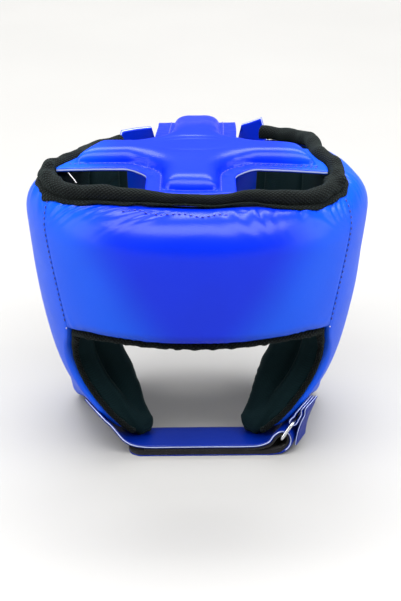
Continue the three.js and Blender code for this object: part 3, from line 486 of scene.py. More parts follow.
# the guard's vinyl carries painted shade in the middle and painted light at the sides
VINYL = vinyl_finish("blue_vinyl", SHADED_MIDDLE_BLUE, LIT_SIDE_BLUE)
# painted shade: the chin strap, the ring tab and its tail get the darker blue
SHADED_STRAP_VINYL = vinyl_finish("strap_vinyl_painted_shade", SHADED_STRAP_BLUE, SHADED_STRAP_BLUE)
print("made", VINYL.name, SHADED_STRAP_VINYL.name)

# %% Knits
WAVE_TURN = 20  # a wave texture of scale 1 turns by this many radians in a metre
KNIT_LEAN = 52  # degrees between the cloth's width and the lattice


def knit_finish(name, dark, light, pitch, depth, fuzz):
    """Two crossed diagonal waves make the lattice of a knit; the light yarn stands on its ridges."""
    material, add, dress = new_finish(name)
    cloth = add("UVMap", uv_map="cloth").outputs["UV"]
    scale = 2 * math.pi / (WAVE_TURN * pitch)
    ribs = []
    for turn in (math.radians(KNIT_LEAN), math.radians(-KNIT_LEAN)):
        turned = add("Mapping", {"Vector": cloth, "Rotation": (0, 0, turn)})
        ribs.append(add("TexWave", {"Vector": turned.outputs[0], "Scale": scale, "Distortion": 0.0}))
    lattice = add("Math", {k: rib.outputs["Fac"] for k, rib in enumerate(ribs)}, operation="MULTIPLY")
    place = add("TexCoord").outputs["Object"]
    cloud = noise(add, place, 45.0, 5.0, 0.6)
    mixed = add("Math", {0: lattice.outputs[0], 1: cloud}, operation="MULTIPLY")
    hair = bumps(add, noise(add, place, 1900.0, 2.0), fuzz, 0.0003)
    loops = bumps(add, lattice.outputs[0], 0.8, depth, hair)
    dress({"Base Color": blend(add, mixed.outputs[0], dark, light), "Roughness": 0.85, "Normal": loops,
           "Sheen Weight": 0.06, "Sheen Roughness": 0.4, "Sheen Tint": (0.35, 0.55, 0.52, 1),
           "Specular IOR Level": 0.12})
    return material


LINING = knit_finish("dark_lining_knit", (0.001, 0.008, 0.010, 1), (0.002, 0.020, 0.024, 1),
                     pitch=0.0013, depth=0.00008, fuzz=0.15)
BINDING = knit_finish("black_binding_knit", (0.0004, 0.001, 0.001, 1), (0.005, 0.009, 0.010, 1),
                      pitch=0.0016, depth=0.0009, fuzz=0.3)
print("made", LINING.name, BINDING.name)

# %% Pile, thread and steel


def pile_finish():
    """Fuzz: fine noise for the loops times a coarser one for the patches that lie flat."""
    material, add, dress = new_finish("black_pile")
    place = add("TexCoord").outputs["Object"]
    loops, patches = noise(add, place, 1300.0, 3.0), noise(add, place, 120.0, 3.0)
    both = add("Math", {0: loops, 1: patches}, operation="MULTIPLY").outputs[0]
    dress({"Base Color": blend(add, both, (0.002, 0.002, 0.003, 1), (0.02, 0.02, 0.024, 1)),
           "Roughness": 0.95, "Normal": bumps(add, both, 0.9, 0.0008),
           "Sheen Weight": 0.15, "Specular IOR Level": 0.15})
    return material


def thread_finish(name, dark, light):
    """Twisted thread: slanting waves along the stitch."""
    material, add, dress = new_finish(name)
    inputs = {"Vector": add("TexCoord").outputs["Object"], "Scale": 700.0, "Distortion": 1.5}
    twist = add("TexWave", inputs, bands_direction="DIAGONAL").outputs["Fac"]
    dress({"Base Color": blend(add, twist, dark, light), "Roughness": 0.6,
           "Normal": bumps(add, twist, 0.5, 0.0002), "Sheen Weight": 0.2})
    return material


def steel_finish():
    """Drawn wire: noise stretched along the bars gives fine streaks in colour, roughness and height."""
    material, add, dress = new_finish("drawn_steel")
    place = add("Mapping", {"Vector": add("TexCoord").outputs["Object"], "Scale": (1, 0.06, 1)})
    streak = noise(add, place.outputs[0], 2600.0, 3.0)
    dress({"Base Color": blend(add, streak, (0.55, 0.56, 0.58, 1), (0.82, 0.83, 0.85, 1)),
           "Metallic": 1.0, "Roughness": spread(add, streak, 0.14, 0.34),
           "Normal": bumps(add, streak, 0.15, 0.0001)})
    return material


PILE = pile_finish()
BLUE_THREAD = thread_finish("dark_blue_thread", (0.001, 0.006, 0.14, 1), (0.001, 0.014, 0.26, 1))
PALE_THREAD = thread_finish("pale_thread", (0.45, 0.44, 0.46, 1), (0.75, 0.73, 0.76, 1))
STEEL = steel_finish()
print("made", PILE.name, BLUE_THREAD.name, PALE_THREAD.name, STEEL.name)

# %% [markdown]
# ## The padded panels
# Five panels make the wall: the forehead, two cheeks and two rear wings. Each is a patch of the wall between
# four border curves, filled in by blending opposite borders (a Coons patch). A panel has four layers: the
# vinyl skin, the split between pad and lining, the back of the lining, and the lining's face. Towards an
# edge a layer drops along a quarter ellipse, which is how a foam edge looks when its cover is pulled over.
# Such a patch needs only the four seams that a maker would draw.

# %% Panel layers
PAD_DEPTH, WALL_DEPTH, SEWN_EDGE, SEWN_GAP, SEAM_DEG = 15.0, 24.0, 1.8, 0.4, 0.07
SEAM_FOOT_Z, BROW_ARCH, BACK_SEAM_DEG = 92.5, 6.0, 121.0
REAR_END_DEG = {1: 150.5, -1: 147.0}
TEMPLE_TOP_DEG, TIP_Z = FRONT_EDGE["deg"][-1], FRONT_EDGE["z"][0]
RIM_ROLL, RIM_SPLIT, RIM_LINING = 24, 20, 16  # heights of the layers' rolls under the rim
RIM_SEAM, RIM_SLOT = 2.6, 0.6  # half width of the sewn edge on top, and how far the split lies off its middle
ROLLS = {  # width and drop of each layer at each kind of edge
    "brow": {"skin": (8, 6), "split": (12, 6), "lining": (10, 6)},
    "corner": {"skin": (5, 2), "split": (12, 6), "lining": (10, 6)},
    "flap": {"skin": (4.5, 3.4), "split": (14, 8.5), "lining": (9, 11)},
    "temple": {"skin": (2.5, 0.9), "split": (14, 8.5), "lining": (9, 11)},
    "hem": {"skin": (10, 8), "split": (12, 5), "lining": (10, 6)},
    "back": {"skin": (10, 8), "split": (12, 4), "lining": (10, 6)},
    "seam": {"skin": (4, 0.35), "split": (10, 0), "lining": (6, 2)},
}
print("kinds of edge:", ", ".join(ROLLS))

# %% A patch between four borders


def shares(count, crowd=0.8):
    """Shares from 0 to 1 that lie closer together near both ends: x minus crowd times sin(2 pi x) / 2 pi."""
    x = np.linspace(0, 1, count)
    return x - crowd * np.sin(2 * math.pi * x) / (2 * math.pi)


def filled(borders, s, t):
    """Blend of the bottom and top curves, plus blend of the first and last, minus that of the corners."""
    bottom, top = borders["bottom"](s)[:, None, :], borders["top"](s)[:, None, :]
    first, last = borders["first"](t)[:, :, None], borders["last"](t)[:, :, None]
    low, high = lerp(bottom[..., :1], bottom[..., -1:], s), lerp(top[..., :1], top[..., -1:], s)
    up = t[None, :, None]
    return lerp(bottom, top, up) + lerp(first, last, s) - lerp(low, high, up)


print("shares of five points:", shares(5).round(3))

# %% Edges and layers


def rim_roll(deep):
    """Under the rim the skin rolls in as deep as the table says, with the lining behind it."""
    return {"skin": (RIM_ROLL, deep - RIM_SEAM), "split": (RIM_SPLIT, PAD_DEPTH - deep + RIM_SLOT),
            "lining": (RIM_LINING, WALL_DEPTH - deep - RIM_SEAM)}


def blended_roll(low, high, k):
    """One kind of edge that turns into another."""
    return {name: tuple(lerp(a, b, k) for a, b in zip(low[name], high[name])) for name in low}


def layer_drop(away, edges, layer):
    """A quarter ellipse of the edge's width and drop from each border, of which the largest counts."""
    drops = []
    for side, kind in edges.items():
        width, drop = kind[layer]
        drops.append(drop * quarter_drop(1 - away[side] / width))
    drops = np.stack(drops)
    return np.take_along_axis(drops, np.abs(drops).argmax(0)[None], 0)[0]


def panel(borders, edges_for, across, up, fuller=None):
    """The four layers of a panel as grids of points, with across by up points. fuller gives the extra depth
    and the sag of the lining."""
    deg, z = filled(borders, shares(across), shares(up))
    outside = wall_point(deg, z)
    away = measured(outside)
    edges = edges_for(deg, z)
    split = PAD_DEPTH - layer_drop(away, edges, "split")
    skin = np.minimum(layer_drop(away, edges, "skin"), split - SEWN_EDGE)
    swell, sag = fuller(deg, z, away) if fuller else (0.0, 0.0)
    face = np.maximum(WALL_DEPTH + swell - layer_drop(away, edges, "lining"), split + SEWN_GAP + SEWN_EDGE)
    depths = {"skin": skin, "split": split, "back": split + SEWN_GAP, "face": face}
    layers = {name: wall_depth(deg, z, depth) for name, depth in depths.items()}
    layers["face"][..., 2] -= sag
    return {"borders": borders, "deg": deg, "z": z, "away": away, **layers}


height, drop = rim_roll(float(RIM_IN[1](0)))["skin"]
print("over the brow the skin rolls in by", drop, "mm over a height of", height, "mm")

# %% The forehead panel


def forehead_panel():
    """Between the two temple seams, from the brow up to the rim."""
    def side(sign):
        def line(t):
            z = lerp(SEAM_FOOT_Z, RIM_Z[sign](TEMPLE_TOP_DEG), t)
            return np.stack([sign * (edge_deg(z) - SEAM_DEG), z])
        return line

    right_top, left_top = side(-1)(np.ones(1))[:, 0], side(1)(np.ones(1))[:, 0]

    def bottom(s):
        deg = lerp(-1, 1, s) * (edge_deg(SEAM_FOOT_Z) - SEAM_DEG)
        return np.stack([deg, SEAM_FOOT_Z + BROW_ARCH * (1 - lerp(-1, 1, s) ** 2)])

    def top(s):
        deg, chord = lerp(right_top[0], left_top[0], s), lerp(right_top[1], left_top[1], s)
        at_ends = (2 * s - 1) ** 16  # only the last bit of each end bends to the seam
        return np.stack([deg, lerp(rim_z(deg), chord, at_ends)])

    def edges(deg, z):
        brow = blended_roll(ROLLS["brow"], ROLLS["corner"], smoothstep(np.abs(deg), 40, 52))
        return {"first": ROLLS["seam"], "last": ROLLS["seam"], "bottom": brow, "top": rim_roll(rim_in(deg))}

    return panel({"bottom": bottom, "top": top, "first": side(-1), "last": side(1)}, edges, 181, 101)


FOREHEAD = forehead_panel()
print("forehead grid:", FOREHEAD["skin"].shape)

# %% Fullness of the cheek linings
CHEEK_SWELL, CHEEK_THINNER, CHEEK_SAG = 7.0, 4.0, 10.5


def cheek_fullness(deg, z, away):
    """The lining of a flap swells most a little behind its front edge, sags towards the flap's tip, and is
    thinner below the ear."""
    level = smoothstep(z, 22, 48) * (1 - smoothstep(z, 78, 112))
    swell = CHEEK_SWELL * level * smoothstep(away["first"], 0, 10) * (1 - smoothstep(deg, 74, 104))
    swell = swell - CHEEK_THINNER * smoothstep(deg, 90, 106) * (1 - smoothstep(z, 50, 90))
    low = (1 - smoothstep(away["bottom"], 0, 26)) * (1 - smoothstep(deg, 64, 90))
    return swell, CHEEK_SAG * low * lerp(0.5, 1, smoothstep(away["first"], 0, 9))


behind_edge = cheek_fullness(70.0, 60.0, {"first": 20.0, "bottom": 60.0})[0]
print("a flap's lining swells by", float(behind_edge), "mm behind its edge")

# %% The cheek panels
SIDES = {1: "left", -1: "right"}
LOWER_END = 7.0  # how far the lower end of a lining may hang down
STRAP_TOP, STRAP_CLIMB = 8.3, 6.5  # upper side of the chin strap under the flaps, and its rise beside them


def cheek_panel(sign):
    """From the temple seam and the flap's front edge back to the seam behind the ear. The lower end of the
    lining hangs down as far as the strap below it lets it."""
    back_deg = BACK_SEAM_DEG - SEAM_DEG
    rim = RIM_Z[sign]

    def front(t):
        z = lerp(TIP_Z, rim(TEMPLE_TOP_DEG), t)
        return np.stack([edge_deg(z) + SEAM_DEG, z])

    def level(end, height):
        corner = front(np.array([end]))[:, 0]

        def line(s):
            deg = lerp(corner[0], back_deg, s)
            beyond_corner = np.minimum(1, s * 12)  # the first twelfth leads from the corner to the table
            return np.stack([deg, lerp(corner[1], height(deg), beyond_corner)])
        return line

    def back(t):
        return np.stack([np.full_like(t, back_deg), lerp(hem_z(back_deg), rim(back_deg), t)])

    def edges(deg, z):
        above_foot = z - SEAM_FOOT_Z
        flap = blended_roll(ROLLS["flap"], ROLLS["temple"], smoothstep(above_foot, -30, -6))
        front_kind = blended_roll(flap, ROLLS["seam"], smoothstep(above_foot, -4, 4))
        return {"first": front_kind, "last": ROLLS["seam"], "bottom": ROLLS["hem"],
                "top": rim_roll(RIM_IN[sign](deg))}

    borders = {"bottom": level(0.0, hem_z), "top": level(1.0, rim), "first": front, "last": back}
    layers = panel(borders, edges, 111, 141, cheek_fullness)
    face, sag = layers["face"], cheek_fullness(layers["deg"], layers["z"], layers["away"])[1]
    low = sag / CHEEK_SAG
    above_strap = STRAP_TOP + STRAP_CLIMB * smoothstep(np.abs(face[..., 0]), 36, 50)
    hung = np.minimum(face[..., 2], np.maximum(face[..., 2] - LOWER_END * np.sqrt(low), above_strap))
    face[..., 2] = np.where(low > 0, hung, face[..., 2])
    return layers


CHEEK = {sign: cheek_panel(sign) for sign in SIDES}
print("lowest point of a cheek's lining:", float(CHEEK[1]["face"][..., 2].min().round(1)), "mm")

# %% The rear panels


def rear_panel(sign):
    """From the seam behind the ear to the free edge beside the middle of the back."""
    from_deg, end_deg, rim = BACK_SEAM_DEG + SEAM_DEG, REAR_END_DEG[sign], RIM_Z[sign]

    def upright(deg):
        return lambda t: np.stack([np.full_like(t, deg), lerp(hem_z(deg), rim(deg), t)])

    def level(height):
        return lambda s: np.stack([lerp(from_deg, end_deg, s), height(lerp(from_deg, end_deg, s))])

    def edges(deg, z):
        return {"first": ROLLS["seam"], "last": ROLLS["back"], "bottom": ROLLS["hem"],
                "top": rim_roll(RIM_IN[sign](deg))}

    borders = {"bottom": level(hem_z), "top": level(rim)}
    borders.update(first=upright(from_deg), last=upright(end_deg))
    return panel(borders, edges, 61, 121)


REAR = {sign: rear_panel(sign) for sign in SIDES}
print("rear grid:", REAR[1]["skin"].shape)

# %% [markdown]
# ## Vinyl skins
# The foam pushes the vinyl out smoothly, but the rim is shorter than the skin sewn to it, so the skin
# gathers just under the rim. The brow edge and the flap's hem pucker less. Relief is added along the skin's
# own normal and dies out before the sewn border, so the neighbours stay clear. Folds could be sculpted by
# hand; distances from the borders put them along every seam at once.

# %% Relief of the skins


def hold(away, width=4.0):
    """0 on every sewn border, 1 from width inwards."""
    nearest = np.minimum.reduce(list(away.values()))
    return smoothstep(nearest, 0, width)


def skin_relief(away, seed, rim_height, brow_height=0.35, splay=0.0):
    """Gathers under the rim in two pitches, small puckers above the lower edge, and a slow unevenness. With
    splay the gathers lean outwards from the panel's middle as they go down."""
    along = away["first"]
    leant = along - splay * np.tanh((along - along[:, -1:] / 2) / 30) * away["top"]
    under_rim = gathers(leant, away["top"], 11, 10, seed) + 0.5 * gathers(leant, away["top"], 6, 7, seed + 10)
    at_hem = gathers(along, away["bottom"], 9, 7, seed + 20)
    uneven = 0.12 * waves(along, away["bottom"], 45, seed + 30)
    return (rim_height * under_rim + brow_height * at_hem + uneven) * hold(away)


relief = skin_relief(measured(FOREHEAD["skin"]), 3, 1.2, splay=1.3)
print("forehead relief:", float(relief.min().round(2)), "to", float(relief.max().round(2)), "mm")

# %% Skins
ON_FLOOR = 0.1  # lowest level of a padded piece


def lifted(grid, relief):
    """The grid moved along its normals by the relief, but not below the floor."""
    moved = grid + grid_normal(grid) * relief[..., None]
    moved[..., 2] = np.maximum(moved[..., 2], ON_FLOOR)
    return moved


def add_padded(name, node, outer, inner, cloth, finish, slot, sign):
    """A closed padded piece between two grids, mirrored for the right side. Its UVs are walked on cloth."""
    points, blocks, _, source = walled(outer, inner, grid_quads(*outer.shape[:2]))
    piece = make_piece(name, points * (sign, 1, 1), blocks, finish, slot, [node], cloth_uv(cloth)[source])


def add_skin(name, node, layers, relief, sign=1):
    """A pad between its lifted skin and its flat inner side; gives back the skin."""
    skin = lifted(layers["skin"], relief)
    add_padded(name, node, skin, layers["split"], skin, VINYL, "vinyl", sign)
    return skin * (sign, 1, 1)


forehead_skin = add_skin("forehead_skin", "forehead_pad", FOREHEAD, relief)
cheek_skin, rear_skin = {}, {}
for sign, side in SIDES.items():
    relief = skin_relief(measured(CHEEK[sign]["skin"]), 40 + sign, 0.9, 0.25)
    cheek_skin[sign] = add_skin(f"cheek_skin_{side}", f"cheek_pad_{side}", CHEEK[sign], relief, sign)
    relief = skin_relief(measured(REAR[sign]["skin"]), 60 + sign, 0.8, 0.4)
    rear_skin[sign] = add_skin(f"rear_skin_{side}", f"rear_pad_{side}", REAR[sign], relief, sign)

# %% [markdown]
# ## Knitted linings
# Inside, each pad is faced with a thin foam cushion in dark knit. Along the flap's free edge the knit is
# turned over, so there is a narrow roll, then a sewn groove, then the cushion. The cloth pulls into long
# soft folds beside the groove. All of it is a sum of bells and steps of the distance from the edge, so the
# roll stays even round the flap's tip.

# %% Relief of the linings
ROLL_AT, ROLL_WIDTH, GROOVE_AT, GROOVE_WIDTH, GROOVE_DEPTH = 4.2, 2.6, 9.5, 1.7, 2.0
FULLER = {1: 8.5, -1: 7.0}  # the two flaps' cushions are not stuffed alike


def cushion_relief(edge, along, seed, roll_height, grooved=1.0):
    """A roll beside the free edge, a groove behind it, the cushion's swell, and folds near the groove."""
    roll = roll_height * bell(edge, ROLL_AT, ROLL_WIDTH)
    groove = -GROOVE_DEPTH * grooved * bell(edge, GROOVE_AT, GROOVE_WIDTH)
    swell = 1.6 * smoothstep(edge, GROOVE_AT, 24)
    folds = 0.55 * gathers(along, np.maximum(edge - 8, 0), 8, 16, seed)
    return roll + groove + swell + folds


def brow_relief(away):
    """A low cushion away from the brow and the rim, with small puckers above the brow."""
    cushion = 0.8 * smoothstep(away["bottom"], 6, 18) * smoothstep(away["top"], 3, 14) * hold(away, 8)
    return cushion + 0.3 * gathers(away["first"], away["bottom"], 8, 10, 5) * hold(away)


def flap_relief(away, deg, z, sign):
    """The cushion's relief along the front edge and the hem. Behind the roll it is stuffed fuller, as far
    back as the ear and up to the temple."""
    edge = np.minimum(away["first"] + 60 * smoothstep(z, 90, 100), away["bottom"])
    along = np.where(away["first"] < away["bottom"], away["bottom"], away["first"])
    relief = cushion_relief(edge, along, 70 + sign, 2.6, smoothstep(away["bottom"], 10, 20))
    behind_roll = away["first"] - lerp(3, 9, smoothstep(z, 20, 45))
    fuller = smoothstep(behind_roll, 0, 9) * smoothstep(away["bottom"], 2, 9)
    fuller = fuller * (1 - smoothstep(deg, 78, 100))
    relief = relief + FULLER[sign] * fuller * (1 - smoothstep(z, 90, 112))
    return relief * hold(away, 3)


section = cushion_relief(np.array([0.0, ROLL_AT, GROOVE_AT, 24.0]), np.zeros(4), 1, 2.6)
print("cushion at its edge, roll, groove and middle:", section.round(1), "mm")

# %% Linings


def add_lining(name, node, layers, relief, sign=1):
    """A cushion between its hidden back and its face, which is lifted towards the head."""
    face = lifted(layers["face"], -relief)
    add_padded(name, node, layers["back"], face, face, LINING, "lining", sign)


relief = brow_relief(measured(FOREHEAD["face"]))
add_lining("forehead_cushion", "forehead_lining", FOREHEAD, relief)
for sign, side in SIDES.items():
    flap = CHEEK[sign]
    relief = flap_relief(measured(flap["face"]), flap["deg"], flap["z"], sign)
    add_lining(f"cheek_cushion_{side}", f"cheek_lining_{side}", flap, relief, sign)
    away = measured(REAR[sign]["face"])
    relief = cushion_relief(np.minimum(away["last"], away["bottom"]), away["bottom"], 80 + sign, 1.0)
    add_lining(f"rear_cushion_{side}", f"rear_lining_{side}", REAR[sign], relief * hold(away, 3), sign)

# %% [markdown]
# ## Bindings
# Raw edges are bound with a strip of black knit. Along the rim the strip is thick and rolled, and its
# lower selvage lies on the skin as a thin wavy lip. Round the face opening it is a narrow roll. Both are a
# profile carried along a path: the profile's first axis points outwards, its second one up. A bevelled
# curve would give a plain tube; here the profile may change along the way.

# %% Paths


def smooth_path(points, count):
    """A curve through points of any dimension (Catmull-Rom, knots by the root of the chord), cut into
    points at even distances."""
    p = np.asarray(points, float)
    full = np.concatenate([2 * p[:1] - p[1:2], p, 2 * p[-1:] - p[-2:-1]])
    knot = np.sqrt(np.linalg.norm(np.diff(full, axis=0), axis=1))[:, None]
    d0, d1, d2 = knot[:-2], knot[1:-1], knot[2:]
    x0, x1, x2, x3 = full[:-3], full[1:-2], full[2:-1], full[3:]
    m1 = ((x1 - x0) / d0 - (x2 - x0) / (d0 + d1) + (x2 - x1) / d1) * d1
    m2 = ((x2 - x1) / d1 - (x3 - x1) / (d1 + d2) + (x3 - x2) / d2) * d1
    k = np.linspace(0, 1, 24, endpoint=False)[None, :, None]
    x1, x2, m1, m2 = (v[:, None] for v in (x1, x2, m1, m2))
    dense = (2 * x1 - 2 * x2 + m1 + m2) * k**3 + (3 * x2 - 3 * x1 - 2 * m1 - m2) * k**2 + m1 * k + x1
    dense = np.concatenate([dense.reshape(-1, p.shape[1]), full[-2:-1]])
    return even(dense, count)


def even(line, count):
    """A line of points cut into points at even distances."""
    run = np.concatenate([[0], np.cumsum(np.linalg.norm(np.diff(line, axis=0), axis=1))])
    at = np.linspace(0, run[-1], count)
    return np.stack([np.interp(at, run, c) for c in line.T], -1)


def level_sides(path):
    """Level unit vectors across a path, to its outside if it runs anticlockwise seen from above."""
    ahead = np.gradient(path, axis=0)
    return unit(np.stack([ahead[:, 1], -ahead[:, 0], np.zeros(len(path))], -1))


print("even points on a bent line:", even(np.array([[0.0, 0.0], [3.0, 0.0], [3.0, 4.0]]), 3).tolist())

# %% Profiles along a path


def carried(path, side, up, a, b):
    """Point = path + a * side + b * up, for every station of the path and every corner of the profile."""
    return path[:, None] + np.asarray(a)[..., None] * side[:, None] + np.asarray(b)[..., None] * up[:, None]


def tube(grid, loop=False):
    """Faces of a grid that is closed round its rows, with end caps or, for a loop, with its ends joined,
    and the UVs of their corners in metres, which run on over the join."""
    rows, cols = grid.shape[:2]
    cells = grid_quads(rows + loop, cols, wrap=True) % (rows * cols)
    full = np.concatenate([grid, grid[:1]]) if loop else grid
    u = run_along(full.mean(1)[:, None], 0)[:, 0] * MM
    v = run_along(np.concatenate([grid, grid[:, :1]], 1), 1).mean(0) * MM
    i, j = (m.ravel() for m in np.meshgrid(np.arange(rows - 1 + loop), np.arange(cols), indexing="ij"))
    corners = ((i, j), (i, j + 1), (i + 1, j + 1), (i + 1, j))
    blocks, uv = [cells], [np.stack([np.stack([u[a], v[b]], -1) for a, b in corners], 1)]
    if not loop:
        ring = np.arange(cols)
        start, end = (np.stack([np.full(cols, u[e]), v[:cols]], -1) for e in (0, -1))
        blocks += [ring[None, ::-1], (rows - 1) * cols + ring[None]]
        uv += [start[None, ::-1], end[None]]
    return blocks, uv


def circle(count):
    """Angles of count corners round a full turn."""
    return np.linspace(0, 2 * math.pi, count, endpoint=False)


print("corners of a six-sided tube:", np.degrees(circle(6)).round().tolist())

# %% The line of the rim
ROLL_RADIUS = 4.6


def rim_line(deg):
    """Middle line of the roll, on top of the inner end of the skin."""
    line = wall_depth(deg, rim_z(deg), rim_in(deg))
    line[..., 2] = rim_z(deg) + ROLL_RADIUS + SEWN_GAP
    return line


print("middle of the roll over the brow:", rim_line(np.zeros(1))[0].round(1))

# %% Rim binding
ROLL_ARC = (-46, 226)  # degrees of the roll's circle, between the two ends of the lip
BROW_SLIM = 0.64  # size of the roll over the brow as a share of that at the sides
CRUMPLES = {1: (60, 6), -1: (-68, 12)}  # angle and half width of each side's crumpled corner
LIP_OUT = np.array([0.0, 2.0, 3.6, 4.8, 5.6, 6.1, 6.3, 6.0, 5.2, 4.3])  # out along the skin and back above it
LIP_UP = np.array([0.1, 0.0, 0.0, 0.0, 0.0, 0.1, 0.45, 0.85, 1.0, 1.1])
UP = np.array([0.0, 0.0, 1.0])


def rim_binding():
    """Round roll over three quarters of a circle, then a lip that lies out over the skin. The skin falls
    away below the lip along its own quarter ellipse."""
    deg = np.linspace(-REAR_END_DEG[-1], REAR_END_DEG[1], 521)
    path = rim_line(deg)
    run = run_along(path[:, None], 0)
    corner = np.where(deg < 0, bell(deg, *CRUMPLES[-1]), bell(deg, *CRUMPLES[1]))[:, None]
    slim = lerp(BROW_SLIM, 1.0, smoothstep(np.abs(deg), 6, 38))[:, None]
    path = path + level_sides(path) * (0.5 * drift(run, 60, 11) - ROLL_RADIUS * (1 - slim))
    path = path + UP * (0.5 * drift(run, 42, 12) - 0.7 * ROLL_RADIUS * (1 - slim))
    turn = np.radians(np.linspace(*ROLL_ARC, 40))[None]
    crumpled = (0.03 + 0.13 * corner) * waves(run, ROLL_RADIUS * turn, 9, 14)
    swell = slim * (1 + 0.05 * drift(run, 30, 13) + 0.12 * corner + crumpled)
    a, b = ROLL_RADIUS * swell * np.cos(turn), ROLL_RADIUS * swell * np.sin(turn)
    out = slim * LIP_OUT[None]
    edge = smoothstep(out, 3.0, 5.0)
    wide = out * (1 + edge * (0.10 * drift(run, 31, 15) + 0.05 * drift(run, 14, 16) + 0.12 * corner))
    fall = RIM_ROLL * quarter_drop((wide - RIM_SEAM) / (rim_in(deg)[:, None] - RIM_SEAM))
    flutter = 0.35 * np.clip(0.5 + 0.6 * drift(run, 19, 17), 0, None) * edge
    lip = -ROLL_RADIUS * slim - SEWN_GAP - fall + 0.3 + LIP_UP[None] + flutter
    up = np.broadcast_to(UP, path.shape)
    grid = carried(path, level_sides(path), up, np.concatenate([a, wide], 1), np.concatenate([b, lip], 1))
    blocks, uv = tube(grid)
    make_piece("rim_binding", grid, blocks, BINDING, "binding", ["top_binding"], uv)


rim_binding()

# %% Just outside a border
BROW_ROLL, FLAP_ROLL, ROLL_GAP = 2.8, 1.9, 0.8
BROW_BOUND, SEAM_BOUND, FLAP_BOUND = 9.0, 5.2, 5.3  # depth of the roll under the wall's outer face


def beside(borders, s, t, inwards, depth, roll=FLAP_ROLL):
    """Points just outside a panel's border: the border at a depth, moved away from the panel's inside. Gives
    the border's own points too."""
    def at(s, t):
        grid = filled(borders, np.r_[0, s, 1], np.r_[0, t, 1])
        deg, z = np.diagonal(grid, axis1=1, axis2=2)[:, 1:-1]
        return wall_depth(deg, z, depth)

    step = 0.02
    s, t = np.broadcast_arrays(np.asarray(s, float), np.asarray(t, float))
    edge, inner = at(s, t), at(s + inwards[0] * step, t + inwards[1] * step)
    return edge + unit(edge - inner) * (roll + ROLL_GAP), edge


low_brow = beside(FOREHEAD["borders"], [0.5], [0.0], (0, 1), BROW_BOUND, BROW_ROLL)[0][0]
print("binding under the middle of the brow:", low_brow.round(1))

# %% Face binding
HEM_BOUND = ROLLS["hem"]["skin"][1] - 1.5


def face_binding():
    """A wavy round roll along the brow, down the flap's front edge, round its tip and along its hem; the
    other half is its mirror image."""
    share = np.linspace(0.5, 0.97, 12)
    brow_depth = lerp(BROW_BOUND, SEAM_BOUND, smoothstep(share, 0.8, 0.97))
    brow = beside(FOREHEAD["borders"], share, 0.0, (0, 1), brow_depth, BROW_ROLL)[0]
    cheek = CHEEK[1]["borders"]
    flap = beside(cheek, 0.0, np.linspace(0.47, 0.03, 14), (1, 0), FLAP_BOUND)[0]
    tip_a, tip_edge = beside(cheek, [0.0], [0.0], (1, 0), FLAP_BOUND)
    tip_b = beside(cheek, [0.0], [0.0], (0, 1), FLAP_BOUND)[0]
    hem = beside(cheek, np.linspace(0.06, 0.5, 9), 0.0, (0, 1), HEM_BOUND)[0]
    half = np.concatenate([brow, flap, tip_a + tip_b - tip_edge, hem])
    path = smooth_path(np.concatenate([(half[1:] * (-1, 1, 1))[::-1], half]), 700)
    run = run_along(path[:, None], 0)
    ahead = unit(np.gradient(path, axis=0))
    out = unit(path * (1, 1, 0))
    side = unit(out - ahead * np.sum(out * ahead, 1, keepdims=True))
    other = np.cross(side, ahead)
    turn = circle(18)[None]
    wavy = np.clip(0.35 * drift(run, 13, 21) + 0.25 * drift(run, 6.5, 22), -0.45, 0.6)
    roll = lerp(FLAP_ROLL, BROW_ROLL, smoothstep(path[:, 2:], 70, 90))
    swell = roll * (1 + 0.04 * waves(run, BROW_ROLL * turn, 8, 23))
    high = swell * np.sin(turn) * (1 + 0.12 * wavy) - 0.5 * wavy
    grid = carried(path, side, other, swell * np.cos(turn), high)
    blocks, uv = tube(grid)
    make_piece("face_opening_binding", grid, blocks, BINDING, "binding", ["face_binding"], uv)


face_binding()

# %% [markdown]
# ## The crown cross
# Four padded arms hold the guard on top of the head. The cross is cut from one sheet with round inner
# corners, and a foam core is sewn in along a stitched line, which leaves flat flanges. The flat pattern has
# two coordinates, x across and run along the middle line. Three sets of grids cover it: the long arm, the
# side arms, and a fan in each inner corner; shared points are merged by their coordinates. A flat pattern
# was chosen because the core and its stitches are drawn on it as simple distances, and bent with it later.

# %% Crown pattern
CROWN_ROUTE = {
    "y": [-82, -45, -10, 30, 66, 86, 97, 104.8, 108.2, 109, 109.4],
    "z": [182.5, 183, 184, 183.5, 179, 176, 173.5, 168.5, 158.5, 144, 114],
}
CROWN_HALF, CROWN_CORE, CROWN_RISE, CROWN_SHEET, CROWN_FILLET = 26.0, 16.5, 8.0, 2.4, 12.0
CROWN_CORE_END, CROWN_CORE_ROLL, CROWN_DROOP = 5.0, 10.0, 1.5
CROWN_THINNER, CROWN_NARROWER = 3.0, 2.0  # what the core loses in height and at each side in the rear arm
CROWN_SKEW_FRONT, CROWN_SKEW_REAR = -4.5, 1.5  # the cross is sewn in a little askew
CROWN_TURN = 4.0  # its side arms are turned: the left one ends this much further forward, the right one back
CROWN_SIDE_WIDTH = 0.8  # width of the side arms as a share of the long arm's
CROWN_SLACK = ((9.0, 0.010, 0.55), (15.5, 0.016, 0.7), (-13.0, -0.012, 0.35))  # place, bend, depth of folds
CROWN_MIDDLE_Y, WRAP_FROM_Y = -10, 92  # middle of the side arms, and where the rear arm starts to wrap round
WRAP_OVER, WRAP_RADIUS = 30, 108
RIM_CLEAR = ROLL_RADIUS + 0.8

crown_points = np.stack([np.zeros_like(CROWN_ROUTE["y"]), CROWN_ROUTE["y"], CROWN_ROUTE["z"]], -1)
crown_line = smooth_path(crown_points, 600)
crown_run = run_along(crown_line[:, None], 0)[:, 0]
crown_ahead = unit(np.gradient(crown_line, axis=0))
CROWN_LENGTH = crown_run[-1]


def crown_run_at(y):
    """Length along the crown's middle line at which it is above a given Y."""
    return np.interp(y, crown_line[:, 1], crown_run)


